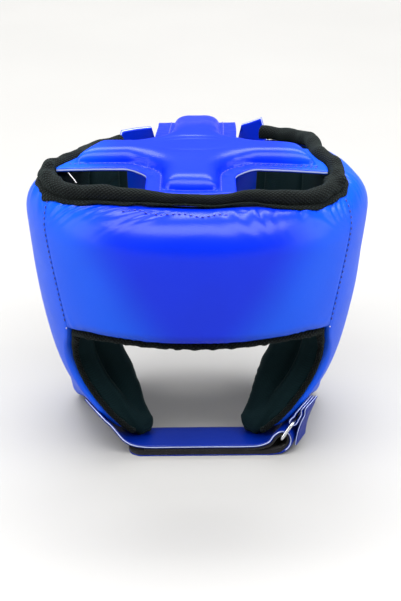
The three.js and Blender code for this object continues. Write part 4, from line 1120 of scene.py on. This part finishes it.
def rim_inside(sign):
    """The inner side of the rim binding on one side: half width and Y at each angle."""
    deg = np.linspace(1, 125, 100) * sign
    ahead = unit((rim_line(deg + sign) - rim_line(deg - sign)) * (1, 1, 0))
    x, y, _ = rim_line(deg).T
    return {"x": np.abs(x - sign * ahead[:, 1] * RIM_CLEAR), "y": y + sign * ahead[:, 0] * RIM_CLEAR}


RIM_HALF_AT = {sign: column(rim_inside(sign), "y", "x") for sign in SIDES}
RIM_FRONT_AT = column({k: v[:40] for k, v in rim_inside(1).items()}, "x", "y")
CROWN_MIDDLE, WRAP_FROM = crown_run_at(CROWN_MIDDLE_Y), crown_run_at(WRAP_FROM_Y)
CROWN_FRONT = crown_run_at(RIM_FRONT_AT(0))
ARM_END = float(RIM_HALF_AT[1](CROWN_MIDDLE_Y))
print("crown:", round(float(CROWN_LENGTH - CROWN_FRONT)), "mm long, arm to", round(ARM_END), "mm")

# %% Crown relief


def core_edge(x, run):
    """Distance inwards from the edge of the padded core; negative on the flanges. The core is the outline
    drawn in: straight beside the arms, and round the fillet's centre at the inner corners. A soft minimum
    of the distances from the sides and from the ends rounds its outer corners."""
    across, along = np.abs(x), np.abs(run - CROWN_MIDDLE)
    far = CROWN_HALF + CROWN_FILLET
    corner = np.hypot(far - across, far - along) - CROWN_FILLET
    inside = np.where(along > far, CROWN_HALF - across, np.where(across > far, CROWN_HALF - along, corner))
    ends = np.minimum(np.minimum(run - CROWN_FRONT, CROWN_LENGTH - run), ARM_END - across) - CROWN_CORE_END
    narrower = CROWN_NARROWER * smoothstep(run, CROWN_MIDDLE + 30, CROWN_MIDDLE + 70)
    sides = inside - (CROWN_HALF - CROWN_CORE) - narrower
    soft = 2.2
    return -soft * np.logaddexp(-sides / soft, -ends / soft)


def crown_lift(x, run):
    """Height of the sheet's upper side: a quarter ellipse from the core's edge, a stitched dip beside it,
    slack folds across the middle and small puckers on the flanges."""
    edge = core_edge(x, run)
    inside = np.clip(edge / CROWN_CORE_ROLL, 0, 1)
    thinner = CROWN_THINNER * smoothstep(run, CROWN_MIDDLE + 30, CROWN_MIDDLE + 100)
    core = (CROWN_RISE - thinner) * np.sqrt(1 - (1 - inside) ** 2)
    stitched = -0.1 * bell(edge, -1.0, 0.9)
    slack = 0.0
    for offset, bend, depth in CROWN_SLACK:
        fold = run - CROWN_MIDDLE - offset + bend * x * x
        slack = slack - depth * bell(fold, 0, 1.8) * bell(x, 0, 17)
    pucker = 0.08 * waves(x, run, 9, 31) * smoothstep(-edge, 0.5, 4) + 0.15 * waves(x, run, 34, 32) * inside
    return CROWN_SHEET / 2 + core + stitched + slack * inside + pucker


print("crown's height in its middle:", float(crown_lift(0.0, CROWN_MIDDLE).round(1)), "mm")

# %% Crown place


def crown_place(x, run, lift):
    """Lays the flat pattern on the crown's line; the arms' ends follow the rim and the rear arm the head."""
    width = lerp(1, CROWN_SIDE_WIDTH, smoothstep(np.abs(x), CROWN_HALF, CROWN_HALF + CROWN_FILLET))
    share = np.clip(CROWN_MIDDLE + (run - CROWN_MIDDLE) * width, 0, CROWN_LENGTH)
    y, z = (np.interp(share, crown_run, crown_line[:, k]) for k in (1, 2))
    ahead_y, ahead_z = (np.interp(share, crown_run, crown_ahead[:, k]) for k in (1, 2))
    front_arm = CROWN_MIDDLE - CROWN_HALF
    to_front = np.clip((front_arm - share) / (front_arm - CROWN_FRONT), 0, 1)
    to_side = np.maximum(0, (np.abs(x) - CROWN_HALF) / (ARM_END - CROWN_HALF))
    askew = lerp(CROWN_SKEW_FRONT, CROWN_SKEW_REAR, smoothstep(run, CROWN_FRONT, WRAP_FROM))
    askew = askew * (1 - to_side)
    y = y + to_front * (RIM_FRONT_AT(np.abs(x + askew)) - RIM_FRONT_AT(0))
    fall = WRAP_RADIUS - np.sqrt(WRAP_RADIUS**2 - np.minimum(np.abs(x), CROWN_HALF) ** 2)
    lift = lift - smoothstep(run, WRAP_FROM, WRAP_FROM + WRAP_OVER) * fall
    y = y - CROWN_TURN * np.sign(x) * to_side
    rim_reach = np.where(x < 0, RIM_HALF_AT[-1](y), RIM_HALF_AT[1](y))
    reach = np.where(to_side > 0, lerp(CROWN_HALF, rim_reach, to_side), np.abs(x))
    z = z - CROWN_DROOP * to_side**2
    return np.stack([np.sign(x) * reach + askew, y - ahead_z * lift, z + ahead_y * lift], -1)


print("end of the rear arm:", crown_place(*np.array([[0.0], [CROWN_LENGTH], [0.0]]))[0].round(1))

# %% Crown grids
CREASE = np.array([-0.06, 0.06, 0.4])  # grid lines close to the core's foot keep its crease sharp
CUT_SHOWN = 0.8  # the crown's cut edges are less pale than those of the straps


def crown_grids():
    """Grids of (x, run) for the long arm, the two side arms and a fan in each inner corner."""
    half, fillet = CROWN_HALF, CROWN_HALF + CROWN_FILLET
    foot = CROWN_CORE - CREASE
    across = np.sort(np.concatenate([np.linspace(-half, half, 53), foot, -foot]))
    corner = np.linspace(half, fillet, 9)
    beside_run = CROWN_MIDDLE + np.concatenate([-corner[:0:-1], across, corner[1:]])
    front = np.linspace(CROWN_FRONT, CROWN_MIDDLE - fillet, 28)[:-1]
    front = np.sort(np.concatenate([front, CROWN_FRONT + CROWN_CORE_END + CREASE]))
    rear = np.linspace(CROWN_MIDDLE + fillet, CROWN_LENGTH, 131)[1:]
    arm = np.concatenate([corner, np.linspace(fillet, ARM_END, 34)[1:]])
    grids = [np.meshgrid(across, np.concatenate([front, beside_run, rear]))]
    grids += [np.meshgrid(x, CROWN_MIDDLE + across) for x in (arm, -arm[::-1])]
    out, turn = np.linspace(0, 1, 9), np.linspace(0, math.pi / 2, 15)
    fan = [lerp(half, fillet - CROWN_FILLET * wave(turn), out[:, None]) for wave in (np.sin, np.cos)]
    for sx, sy in ((1, 1), (-1, 1), (-1, -1), (1, -1)):
        grids.append([sx * fan[0], CROWN_MIDDLE + sy * fan[1]])
    return grids


def merged(grids):
    """Points and cells of flat grids, joined where points agree. Every cell is turned anticlockwise, and a
    cell with two equal corners has them last."""
    flat = np.concatenate([np.stack([x.ravel(), run.ravel()], -1) for x, run in grids])
    starts = np.cumsum([0] + [x.size for x, _ in grids])
    cells = np.concatenate([grid_quads(*x.shape) + s for (x, _), s in zip(grids, starts)])
    _, first, same = np.unique(flat.round(3), axis=0, return_index=True, return_inverse=True)
    flat, cells = flat[first], same.ravel()[cells]
    x, y = flat[cells][..., 0], flat[cells][..., 1]
    area = np.sum(x * np.roll(y, -1, 1) - y * np.roll(x, -1, 1), 1)
    cells = np.where(area[:, None] < 0, cells[:, ::-1], cells)
    shut = cells == np.roll(cells, -1, 1)
    shift = (np.argmax(shut, 1) - 2)[:, None]
    turned = np.take_along_axis(cells, (np.arange(4)[None] + shift) % 4, 1)
    return flat, np.where(shut.any(1)[:, None], turned, cells)


print("crown pattern:", len(merged(crown_grids())[0]), "points")

# %% Crown piece


def crown_cross():
    """The flat pattern as one walled plate, with the relief on its upper side."""
    flat, cells = merged(crown_grids())
    x, run = flat.T
    tops = crown_place(x, run, crown_lift(x, run))
    bottoms = crown_place(x, run, np.full_like(x, -CROWN_SHEET / 2))
    points, blocks, marks, source = walled(tops, bottoms, cells)
    piece = make_piece("crown_cross_pad", points, blocks, VINYL, "vinyl", ["crown_cross"],
                       flat[source] * MM, marks * CUT_SHOWN)


crown_cross()

# %% [markdown]
# ## Straps
# The chin strap, the tab that holds the ring and the strap across the back are flat bands of vinyl with raw
# cut edges, which show their pale backing. A band is a grid of points, rows along it and columns across,
# given a thickness along its own normal. The chin strap goes through the ring and folds back under itself,
# and its inner side carries black pile. A simulated band would settle where it likes; a route of chosen
# rows repeats the folds of the CAD model.

# %% Bands
NO = float("nan")  # a row with no x of its own lies on the flap
BAND_CUT = 0.46  # share of a band's thickness above and below the strip that shows the pale backing
PALE_FROM_Z, PALE_FULL_Z = 2.6, 4.2  # near the floor the cut edges lose their pale backing: painted shade where the strap meets the floor
FLAP_SLANT, STRAP_FRONT_Y, STRAP_REAR_Y = 0.45, -54.5, -30.5
STRAP_SHEET, STRAP_PILE, STRAP_OFF_FLAP, TAB_SHEET = 1.8, 1.4, 2.9, 1.4


def cheek_half_width(y, z):
    """Half width of the outer face in front of the ears."""
    return wall_point(np.degrees(np.arccos(-y / front_at(z))), z)[..., 0]


def band_grid(rows, stations, columns):
    """Three points across each row become a smooth grid: one curve through whole rows, then a parabola
    across each station."""
    path = smooth_path(rows.reshape(len(rows), -1), stations).reshape(stations, 3, 3)
    k = np.linspace(0, 1, columns)[None, :, None]
    a, b, c = (path[:, i][:, None] for i in range(3))
    return a * (2 * k - 1) * (k - 1) + b * 4 * k * (1 - k) + c * k * (2 * k - 1)


def add_band(name, node, grid, thickness, shift, finish, slot, held, rests_on):
    """A closed band of one thickness round a grid; prints the size it was cut to."""
    normal, half = grid_normal(grid), np.asarray(thickness) / 2
    tops, bottoms = (grid + normal * (np.asarray(shift) + k * half)[..., None] for k in (1, -1))
    points, blocks, marks, source = walled(tops, bottoms, grid_quads(*grid.shape[:2]), BAND_CUT)
    # painted shade: towards the floor the pale cut edges fade to the band's own blue
    marks = marks * smoothstep(points[:, 2], PALE_FROM_Z, PALE_FULL_Z)
    piece = make_piece(name, points, blocks, finish, slot, [node], cloth_uv(grid)[source], marks)
    row, col = grid.shape[0] // 2, grid.shape[1] // 2
    flat = (run_along(grid, 1)[row, -1] * MM, run_along(grid, 0)[-1, col] * MM)
    print(f"{name}: cut {flat[0]:.3f} x {flat[1]:.3f} m")
    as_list(rests_on)


print("half width at the strap:", float(cheek_half_width(STRAP_FRONT_Y, 28.0).round(1)), "mm")

# %% Route of the chin strap
STRAP_ROUTE = {
    "x": [NO, NO, NO, -51.5, -48, -42.5, -34, -16, 10, 30, 39, 45.5, 48.6,
          52.4, 56.2, 57.8, 57, 53, 45, 37, 22, 0, -22, -36, -44.5],
    "z": [28, 25, 21.5, 16, 11.4, 7.6, 5.8, 5.6, 5.6, 5.6, 6.2, 9, 13.6,
          16.2, 15.2, 11.4, 7.2, 3.4, 1.8, 1.8, 1.8, 1.8, 1.8, 1.8, 1.8],
    "slant": [0, 0, 0, -0.42, -0.38, -0.3, -0.15, 0, 0, 0.15, 0.3, *[FLAP_SLANT] * 6,
              0.3, 0.15, 0, 0, 0, 0, 0, 0],
}


def strap_rows():
    """Front, middle and rear point of each row; rows with no x lie on the outside of the right flap."""
    x, z, slant = (np.array(STRAP_ROUTE[k], float)[:, None] for k in ("x", "z", "slant"))
    y = np.linspace(STRAP_FRONT_Y, STRAP_REAR_Y, 3)[None]
    on_flap = -(cheek_half_width(y, z) + STRAP_OFF_FLAP)
    across = np.where(np.isnan(x), on_flap, x + slant * (y - STRAP_FRONT_Y))
    return np.stack(np.broadcast_arrays(across, y, z), -1)


rows = strap_rows()
print("rows of the chin strap:", len(rows))

# %% Chin strap
PILE_START = 6  # first row that carries pile
BAND_LOW, PILE_LOW = 0.7, 1.1  # in the lower pass the band is this thick, and the pile starts here


def strap_layer(grid, outer, inner, outer_low, inner_low):
    """Thickness and shift of a layer between two depths, which change to others in the lower pass."""
    low = smoothstep(-grid[..., 2], -5.0, -2.4)
    from_depth, to_depth = lerp(outer, outer_low, low), lerp(inner, inner_low, low)
    return to_depth - from_depth, (from_depth + to_depth) / 2


def round_end(grid, radius=9.0):
    """Draws the last rows in towards the band's middle line: the free end gets round corners."""
    middle = grid[:, [grid.shape[1] // 2]]
    steps = np.linalg.norm(np.diff(middle[:, 0], axis=0), axis=1)
    left = np.append(np.cumsum(steps[::-1])[::-1], 0.0)
    half_width = np.linalg.norm(grid[-1, 0] - grid[-1, -1]) / 2
    drawn = radius * quarter_drop(1 - left / radius)
    return middle + (grid - middle) * (1 - drawn / half_width)[:, None, None]


half = (STRAP_SHEET + SEWN_GAP + STRAP_PILE) / 2
grid = round_end(band_grid(rows, 300, 21))
layer = strap_layer(grid, -half, -half + STRAP_SHEET, -half, -half + BAND_LOW)
add_band("chin_strap_band", "chin_strap", grid, *layer, SHADED_STRAP_VINYL, "vinyl", "folded", ["chin_ring"])
grid = round_end(band_grid(rows[PILE_START:], 240, 21))
layer = strap_layer(grid, half - STRAP_PILE, half, -half + PILE_LOW, half)
add_band("chin_strap_pile", "strap_pile", grid, *layer, PILE, "pile", "folded", ["chin_ring"])

# %% Ring tab
TAB_ROUTE = {
    "x": [NO, NO, NO, 59.6, 57.6, 57, 58, 59.9, 61.5, 62.6, 64.2, NO, NO],
    "z": [34, 31.8, 29.4, 27, 25, 23, 21.2, 20.8, 22.2, 24.8, 28.2, 31.4, 33.6],
    "off": [1.3, 1.3, 1.3, 0, 0, 0, 0, 0, 0, 0, 0, 3.3, 3.1],
}
TAIL_ROUTE = {
    "x": [NO, NO, 66.4, 64.4, 62.4, 61.6, 61.2],
    "z": [33.6, 31.4, 28, 23, 16, 11, 6.6],
    "off": [5, 5.6, 0, 0, 0, 0, 0],
}
TAB_FROM, TAB_TO = 0.06, 0.7  # share of the strap's width that the tab takes up


def tab_rows(route):
    """As the strap's rows, on the left flap."""
    x, z, off = (np.array(route[k], float)[:, None] for k in ("x", "z", "off"))
    y = lerp(STRAP_FRONT_Y, STRAP_REAR_Y, np.linspace(TAB_FROM, TAB_TO, 3))[None]
    across = np.where(np.isnan(x), cheek_half_width(y, z) + off, x + FLAP_SLANT * (y - STRAP_FRONT_Y))
    return np.stack(np.broadcast_arrays(across, y, z), -1)


grid = band_grid(tab_rows(TAB_ROUTE), 150, 15)
add_band("ring_tab_loop", "ring_tab", grid, TAB_SHEET, 0, SHADED_STRAP_VINYL, "vinyl", "folded", ["chin_ring"])
grid = band_grid(tab_rows(TAIL_ROUTE), 80, 15)
add_band("ring_tab_tail", "tab_tail", grid, TAB_SHEET, 0, SHADED_STRAP_VINYL, "vinyl", "hung", ["cheek_pad_left"])

# %% Rear strap
REAR_STRAP_LOW, REAR_STRAP_SHEET, REAR_STRAP_OFF, REAR_STRAP_BELLY = 98.0, 2.6, 0.9, 0.3
REAR_STRAP_TOP = {  # angle from the middle of the back towards the wearer's left, height of the upper edge
    "off": [-43, -36, -30, -28, -22, -16.4, -14.3, -7, 0, 7, 15.8, 17.8, 21.5, 25.6, 27.6, 32, 43],
    "top": [152, 154, 157, 171, 171.5, 171.5, 158.5, 159, 159, 159, 158.5, 173.2, 176, 179.5, 163, 158, 153],
}


def rear_strap_grid():
    """Rows go round the back, columns up. The upper edge is the table's polygon: it ducks under the crown's
    rear arm in the middle. Slow waves belly the strap between its edges."""
    corners = REAR_STRAP_TOP["off"]
    off = np.unique(np.concatenate([np.linspace(corners[0], corners[-1], 161), corners]))[::-1, None]
    k = np.linspace(0, 1, 61)[None]
    high = np.interp(off, corners, REAR_STRAP_TOP["top"])
    deg = np.where(off > 0, 180 - off, -180 - off)
    around, up = off * 1.8, k * 70  # about the millimetres along and up the strap
    belly = REAR_STRAP_BELLY * waves(around, up, 38, 35) * np.sin(math.pi * k)
    outside = REAR_STRAP_SHEET / 2 + REAR_STRAP_OFF + belly
    return wall_depth(deg, lerp(REAR_STRAP_LOW, high, k), -outside)


rests_on = ["rear_pad_left", "rear_pad_right"]
grid = rear_strap_grid()
add_band("rear_closing_strap", "rear_strap", grid, REAR_STRAP_SHEET, 0, VINYL, "vinyl", "stretched", rests_on)

# %% [markdown]
# ## The ring
# A rectangle of drawn steel wire with round corners hangs in the tab. It leans outwards with the flap. The
# outline is four arcs; a round profile is carried along it, which keeps the wire equally thick in the bends.

# %% Ring
RING_WIRE, RING_BEND, RING_PLAY = 1.1, 2.6, 0.8  # wire radius, bend of the corners, room beside the strap
RING_TOP, RING_FOOT = (59.5, 23.4), (53.0, 12.0)  # X and Z of the two bars


def chin_ring():
    """Wire of one radius along a rounded rectangle between the two bars."""
    lean = np.array([RING_TOP[0] - RING_FOOT[0], 0, RING_TOP[1] - RING_FOOT[1]])
    rise = np.linalg.norm(lean)
    front, back = STRAP_FRONT_Y - RING_WIRE - RING_PLAY, STRAP_REAR_Y + RING_WIRE + RING_PLAY
    near, far, low, high = front + RING_BEND, back - RING_BEND, RING_BEND, rise - RING_BEND
    turn = np.linspace(0, math.pi / 2, 13)
    corners = []
    for quarter, (cy, cz) in enumerate(((far, high), (near, high), (near, low), (far, low))):
        at = turn + quarter * math.pi / 2
        corners.append(np.stack([cy + RING_BEND * np.cos(at), cz + RING_BEND * np.sin(at)], -1))
    flat = np.concatenate(corners)
    flat = even(np.concatenate([flat, flat[:1]]), 241)[:-1]
    line = np.array([RING_FOOT[0], 0, RING_FOOT[1]]) + flat[:, 1:] * lean / rise
    line = line + np.stack([FLAP_SLANT * (flat[:, 0] - STRAP_FRONT_Y), flat[:, 0], np.zeros(len(flat))], -1)
    ahead = unit(np.roll(line, -1, 0) - np.roll(line, 1, 0))
    bar, bend = ahead[30], ahead[90]  # two directions in the ring's plane
    side = np.broadcast_to(unit(np.cross(bar, bend)), line.shape)
    around = circle(20)
    grid = carried(line, side, np.cross(side, ahead), RING_WIRE * np.cos(around), RING_WIRE * np.sin(around))
    blocks, uv = tube(grid, loop=True)
    make_piece("chin_ring_wire", grid, blocks, STEEL, "steel", ["chin_ring"], uv)


chin_ring()

# %% [markdown]
# ## Stitches
# Every seam shows its thread. One stitch is a short bent capsule, a few dozen faces; a row repeats it at an
# even pitch along a line of points on the surface, and its ends dive into the sheet. Two pale knots close
# the feet of the temple seams, and one end of thread was never cut off at the crown. A bump in the vinyl
# could show stitches from afar, but real threads throw small shadows and are part of the mesh.

# %% Stitch rows
CAPSULE_AT = np.array([0.0, 0.12, 0.35, 0.65, 0.88, 1.0])  # rings of a capsule, as shares of its length
CAPSULE_SIZE = np.array([0.35, 0.85, 1.0, 1.0, 0.85, 0.35])  # their radii, as shares of the thread's
STITCH_OUT, STITCH_DIVE = 0.75, 2.2  # in radii: how far the middle stands out, and how far the ends dive


def stitch_row(lines, normals, pitch, length, radius):
    """Capsules along lines: each ring of a capsule is a circle round a middle line bent as a parabola."""
    turn = circle(6)
    corners, ring_corners = len(CAPSULE_AT) * len(turn), np.arange(len(turn))
    cells = grid_quads(len(CAPSULE_AT), len(turn), wrap=True)
    caps = np.stack([ring_corners[::-1], corners - len(turn) + ring_corners])
    bend = radius * (STITCH_OUT - STITCH_DIVE * (2 * CAPSULE_AT - 1) ** 2)
    all_points, all_cells, all_caps, start = [], [], [], 0
    for line, normal in zip(lines, normals):
        both = np.concatenate([line, normal], 1)
        run = run_along(line[:, None], 0)[:, 0]
        centre = np.arange(pitch / 2, run[-1], pitch)
        at = centre[:, None] + (CAPSULE_AT - 0.5)[None] * length
        point = np.stack([np.interp(at, run, c) for c in both.T], -1)
        middle, up = point[..., :3], unit(point[..., 3:])
        ahead = unit(np.gradient(middle, axis=1))
        side = np.cross(up, ahead)
        middle = middle + up * bend[None, :, None]
        ring = np.cos(turn)[:, None] * side[:, :, None] + np.sin(turn)[:, None] * up[:, :, None]
        points = middle[:, :, None] + ring * (radius * CAPSULE_SIZE)[None, :, None, None]
        offset = start + np.arange(len(centre))[:, None, None] * corners
        all_points.append(points.reshape(-1, 3))
        all_cells.append((offset + cells[None]).reshape(-1, cells.shape[1]))
        all_caps.append((offset + caps[None]).reshape(-1, caps.shape[1]))
        start += len(centre) * corners
    return np.concatenate(all_points), [np.concatenate(all_cells), np.concatenate(all_caps)]


def add_stitches(name, lines, normals, finish, slot, pitch=3.4, length=2.6, radius=0.42):
    """All the stitches of some lines as one piece."""
    points, blocks = stitch_row(lines, normals, pitch, length, radius)
    make_piece(name, points, blocks, finish, slot)


print("a stitch has", len(grid_quads(len(CAPSULE_AT), 6, wrap=True)) + 2, "faces")

# %% Seam stitches
TEMPLE_ROWS, WING_ROWS = slice(71, 137), slice(8, 112)  # rows of the skins' grids along which the seams show
BROW_ROW_X, BROW_ROW_BELOW = (-47, 20), 7.0  # ends of the second row over the brow, and its way from the rim


def seam_line(grid, distance, keep):
    """The upright grid line of a skin nearest to a distance from its first border, with its normals."""
    k = np.abs(measured(grid)["first"].mean(0) - distance).argmin()
    return grid[keep, k], grid_normal(grid)[keep, k]


def brow_stitches():
    """A wavy second row under the rim: in each column the point at a drifting distance from the rim."""
    x = forehead_skin[forehead_skin.shape[0] // 2, :, 0]
    cols = np.flatnonzero((x > BROW_ROW_X[0]) & (x < BROW_ROW_X[1]))
    target = BROW_ROW_BELOW + 1.1 * drift(x[cols], 26, 91)
    k = np.abs(measured(forehead_skin)["top"][:, cols] - target).argmin(0)
    return forehead_skin[k, cols], grid_normal(forehead_skin)[k, cols]


rows = []
for sign in SIDES:
    for skin, distance, keep in ((cheek_skin, 1.2, TEMPLE_ROWS), (rear_skin, 2.6, WING_ROWS)):
        line, normal = seam_line(skin[sign], distance, keep)
        rows.append((line, normal * sign))
rows.append(brow_stitches())
add_stitches("seam_stitches", *zip(*rows), BLUE_THREAD, "vinyl")

# %% Crown stitches


def crown_line_at(x, run):
    """A line on the crown given in its flat pattern, with normals from two short steps on the surface."""
    def at(x, run):
        return crown_place(x, run, crown_lift(x, run))

    step = 0.3
    x, run = np.broadcast_arrays(np.asarray(x, float), np.asarray(run, float))
    here = at(x, run)
    return here, unit(np.cross(at(x + step, run) - here, at(x, run + step) - here))


far, inset, flange = CROWN_HALF + CROWN_FILLET, CROWN_CORE + 1.0, CROWN_CORE + 4.6
turn = np.linspace(0, math.pi / 2, 40)
bend_x, bend_run = (far - (far - inset) * wave(turn) for wave in (np.cos, np.sin))
arm_x = np.linspace(far, ARM_END - 4, 60)
rows = []
for sx in (1, -1):
    for sy, end in ((1, CROWN_LENGTH - 4), (-1, CROWN_FRONT + 3)):
        long_run = np.linspace(end, CROWN_MIDDLE + sy * far, 160)
        x = np.concatenate([np.full_like(long_run, inset), bend_x[1:], arm_x[1:]])
        arm_run = np.full_like(arm_x[1:], CROWN_MIDDLE + sy * inset)
        run = np.concatenate([long_run, CROWN_MIDDLE + sy * bend_run[1:], arm_run])
        rows.append(crown_line_at(sx * x, run))
rows.append(crown_line_at(np.linspace(flange + 14, ARM_END - 4, 70), CROWN_MIDDLE - flange))
add_stitches("crown_stitches", *zip(*rows), BLUE_THREAD, "vinyl", pitch=3.0, length=2.2, radius=0.34)

# %% Loose ends
SEAM_FOOT_ROWS = slice(68, 71)
THREAD_RADIUS, THREAD_SAG = 0.26, np.array([1.2, 0, -1.5])
THREAD_END_DEG, THREAD_END_OFF = -50.0, (2.4, 2.4, 4.2)  # where on the rim it ends, and how far off it

knots = []
for sign in SIDES:
    line, normal = seam_line(cheek_skin[sign], 0.7, SEAM_FOOT_ROWS)
    knots.append((line, normal * sign))
add_stitches("seam_end_knots", *zip(*knots), PALE_THREAD, "vinyl", pitch=4.0, length=1.5, radius=0.34)


def stray_thread():
    """A thread from the right arm of the crown to the rim in front of it: a thin tube with a sine's sag."""
    start = crown_place(*np.array([[-ARM_END + 6], [CROWN_MIDDLE - CROWN_HALF + 1], [-2.0]]))[0]
    end = rim_line(np.array([THREAD_END_DEG]))[0] + THREAD_END_OFF
    k = np.linspace(0, 1, 40)[:, None]
    line = lerp(start, end, k) + THREAD_SAG * np.sin(math.pi * k)
    side = np.broadcast_to(unit(np.array([1.0, 0.4, 0.0])), line.shape)
    up = unit(np.cross(side, np.gradient(line, axis=0)))
    grid = carried(line, side, up, *(THREAD_RADIUS * wave(circle(8)) for wave in (np.cos, np.sin)))
    blocks, uv = tube(grid)
    make_piece("stray_thread", grid, blocks, PALE_THREAD, "vinyl", uv=uv)


stray_thread()

# %% [markdown]
# ## Floor, light and camera
# The guard stands on a level pale floor in a soft studio. A wide light above and in front makes the long
# highlights on the rolled edges, a larger one behind brightens the floor at the back, and two weak panels
# lift the cheeks. The camera looks from the front and a little above, with a long lens.

# %% Floor
FLOOR_GREYS = ((0.31, 0.307, 0.30, 1), (0.34, 0.336, 0.328, 1))
FLOOR_HALF = 6.0  # metres


def add_floor():
    """A level pale floor that goes on far beyond the picture on all sides."""
    material, add, dress = new_finish("pale_floor")
    cloud = noise(add, add("TexCoord").outputs["Object"], 3.0, 2.0)
    dress({"Base Color": blend(add, cloud, *FLOOR_GREYS), "Roughness": 0.9, "Specular IOR Level": 0.1})
    line = np.linspace(-FLOOR_HALF, FLOOR_HALF, 31)
    x, y = np.meshgrid(line, line)
    points = np.stack([x, y, np.zeros_like(x)], -1).reshape(-1, 3)
    mesh = bpy.data.meshes.new("floor")
    mesh.from_pydata(points.tolist(), [], grid_quads(*x.shape).tolist())
    mesh.materials.append(material)
    floor = bpy.data.objects.new("floor", mesh)
    bpy.context.scene.collection.objects.link(floor)
    floor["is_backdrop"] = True
    print("floor:", 2 * FLOOR_HALF, "m wide")


add_floor()

# %% Light


def aimed(thing, place, target):
    """Puts a light or camera in its place and turns it so that its view axis goes to the target."""
    thing.location = place
    thing.rotation_euler = (Vector(target) - Vector(place)).to_track_quat("-Z", "Y").to_euler()


def add_light(name, place, size, energy, target=(0, 0, 0.09)):
    """A soft rectangle of light, in metres and watts."""
    light = bpy.data.lights.new(name, "AREA")
    light.shape, light.size, light.size_y, light.energy = "RECTANGLE", size[0], size[1], energy
    lamp = bpy.data.objects.new(name, light)
    bpy.context.scene.collection.objects.link(lamp)
    aimed(lamp, place, target)
    print(f"{name}: {energy} W")


add_light("front_softbox", (0.0, -0.66, 1.3), (3.0, 0.7), 64)
add_light("back_softbox", (0.0, 2.0, 3.4), (4.0, 2.0), 330, (0.0, 2.2, 0.0))
add_light("left_panel", (-1.3, -0.3, 0.35), (0.7, 1.0), 8)
add_light("right_panel", (1.3, -0.3, 0.35), (0.7, 1.0), 8)

# %% Studio walls
FRONT_DIM, WALL_BRIGHT = 0.08, 0.3


def add_studio():
    """Bright walls all round, but a dim room in front: brightness goes up with the angle from the front."""
    world = bpy.data.worlds.new("studio")
    world.use_nodes = True
    tree = world.node_tree
    away = tree.nodes.new("ShaderNodeVectorMath")
    away.operation = "DOT_PRODUCT"
    away.inputs[1].default_value = (0, 1, 0)
    tree.links.new(tree.nodes.new("ShaderNodeTexCoord").outputs["Generated"], away.inputs[0])
    walls = tree.nodes.new("ShaderNodeMapRange")
    walls.interpolation_type = "SMOOTHSTEP"
    put(tree, walls, {"Value": away.outputs["Value"], "From Min": -0.92, "From Max": -0.55,
                      "To Min": FRONT_DIM, "To Max": WALL_BRIGHT})
    put(tree, tree.nodes["Background"], {"Color": (1, 1, 1, 1), "Strength": walls.outputs[0]})
    bpy.context.scene.world = world
    print("walls:", FRONT_DIM, "to", WALL_BRIGHT)


add_studio()
bpy.context.scene.view_settings.view_transform = "Standard"

# %% Camera
AZIMUTH, ELEVATION, DISTANCE, LENS = -1.0, 24.0, 0.85, 78.5  # degrees, metres, millimetres
TARGET = np.array([0.0023, -0.0052, 0.084])


def add_camera():
    """The camera on a sphere round the target, at the photograph's angle."""
    view = bpy.data.cameras.new("photo_camera")
    view.lens = LENS
    camera = bpy.data.objects.new("photo_camera", view)
    bpy.context.scene.collection.objects.link(camera)
    turned, raised = math.radians(AZIMUTH), math.radians(ELEVATION)
    level = math.cos(raised) * np.array([math.sin(turned), -math.cos(turned)])
    aimed(camera, TARGET + DISTANCE * np.array([*level, math.sin(raised)]), TARGET)
    bpy.context.scene.camera = camera
    print("camera:", np.round(camera.location, 3))


add_camera()

# %% Size and table
boxes = {"cad": CAD_BOX, "visual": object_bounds()}
{name: [list(map(float, corner)) for corner in box] for name, box in boxes.items()}
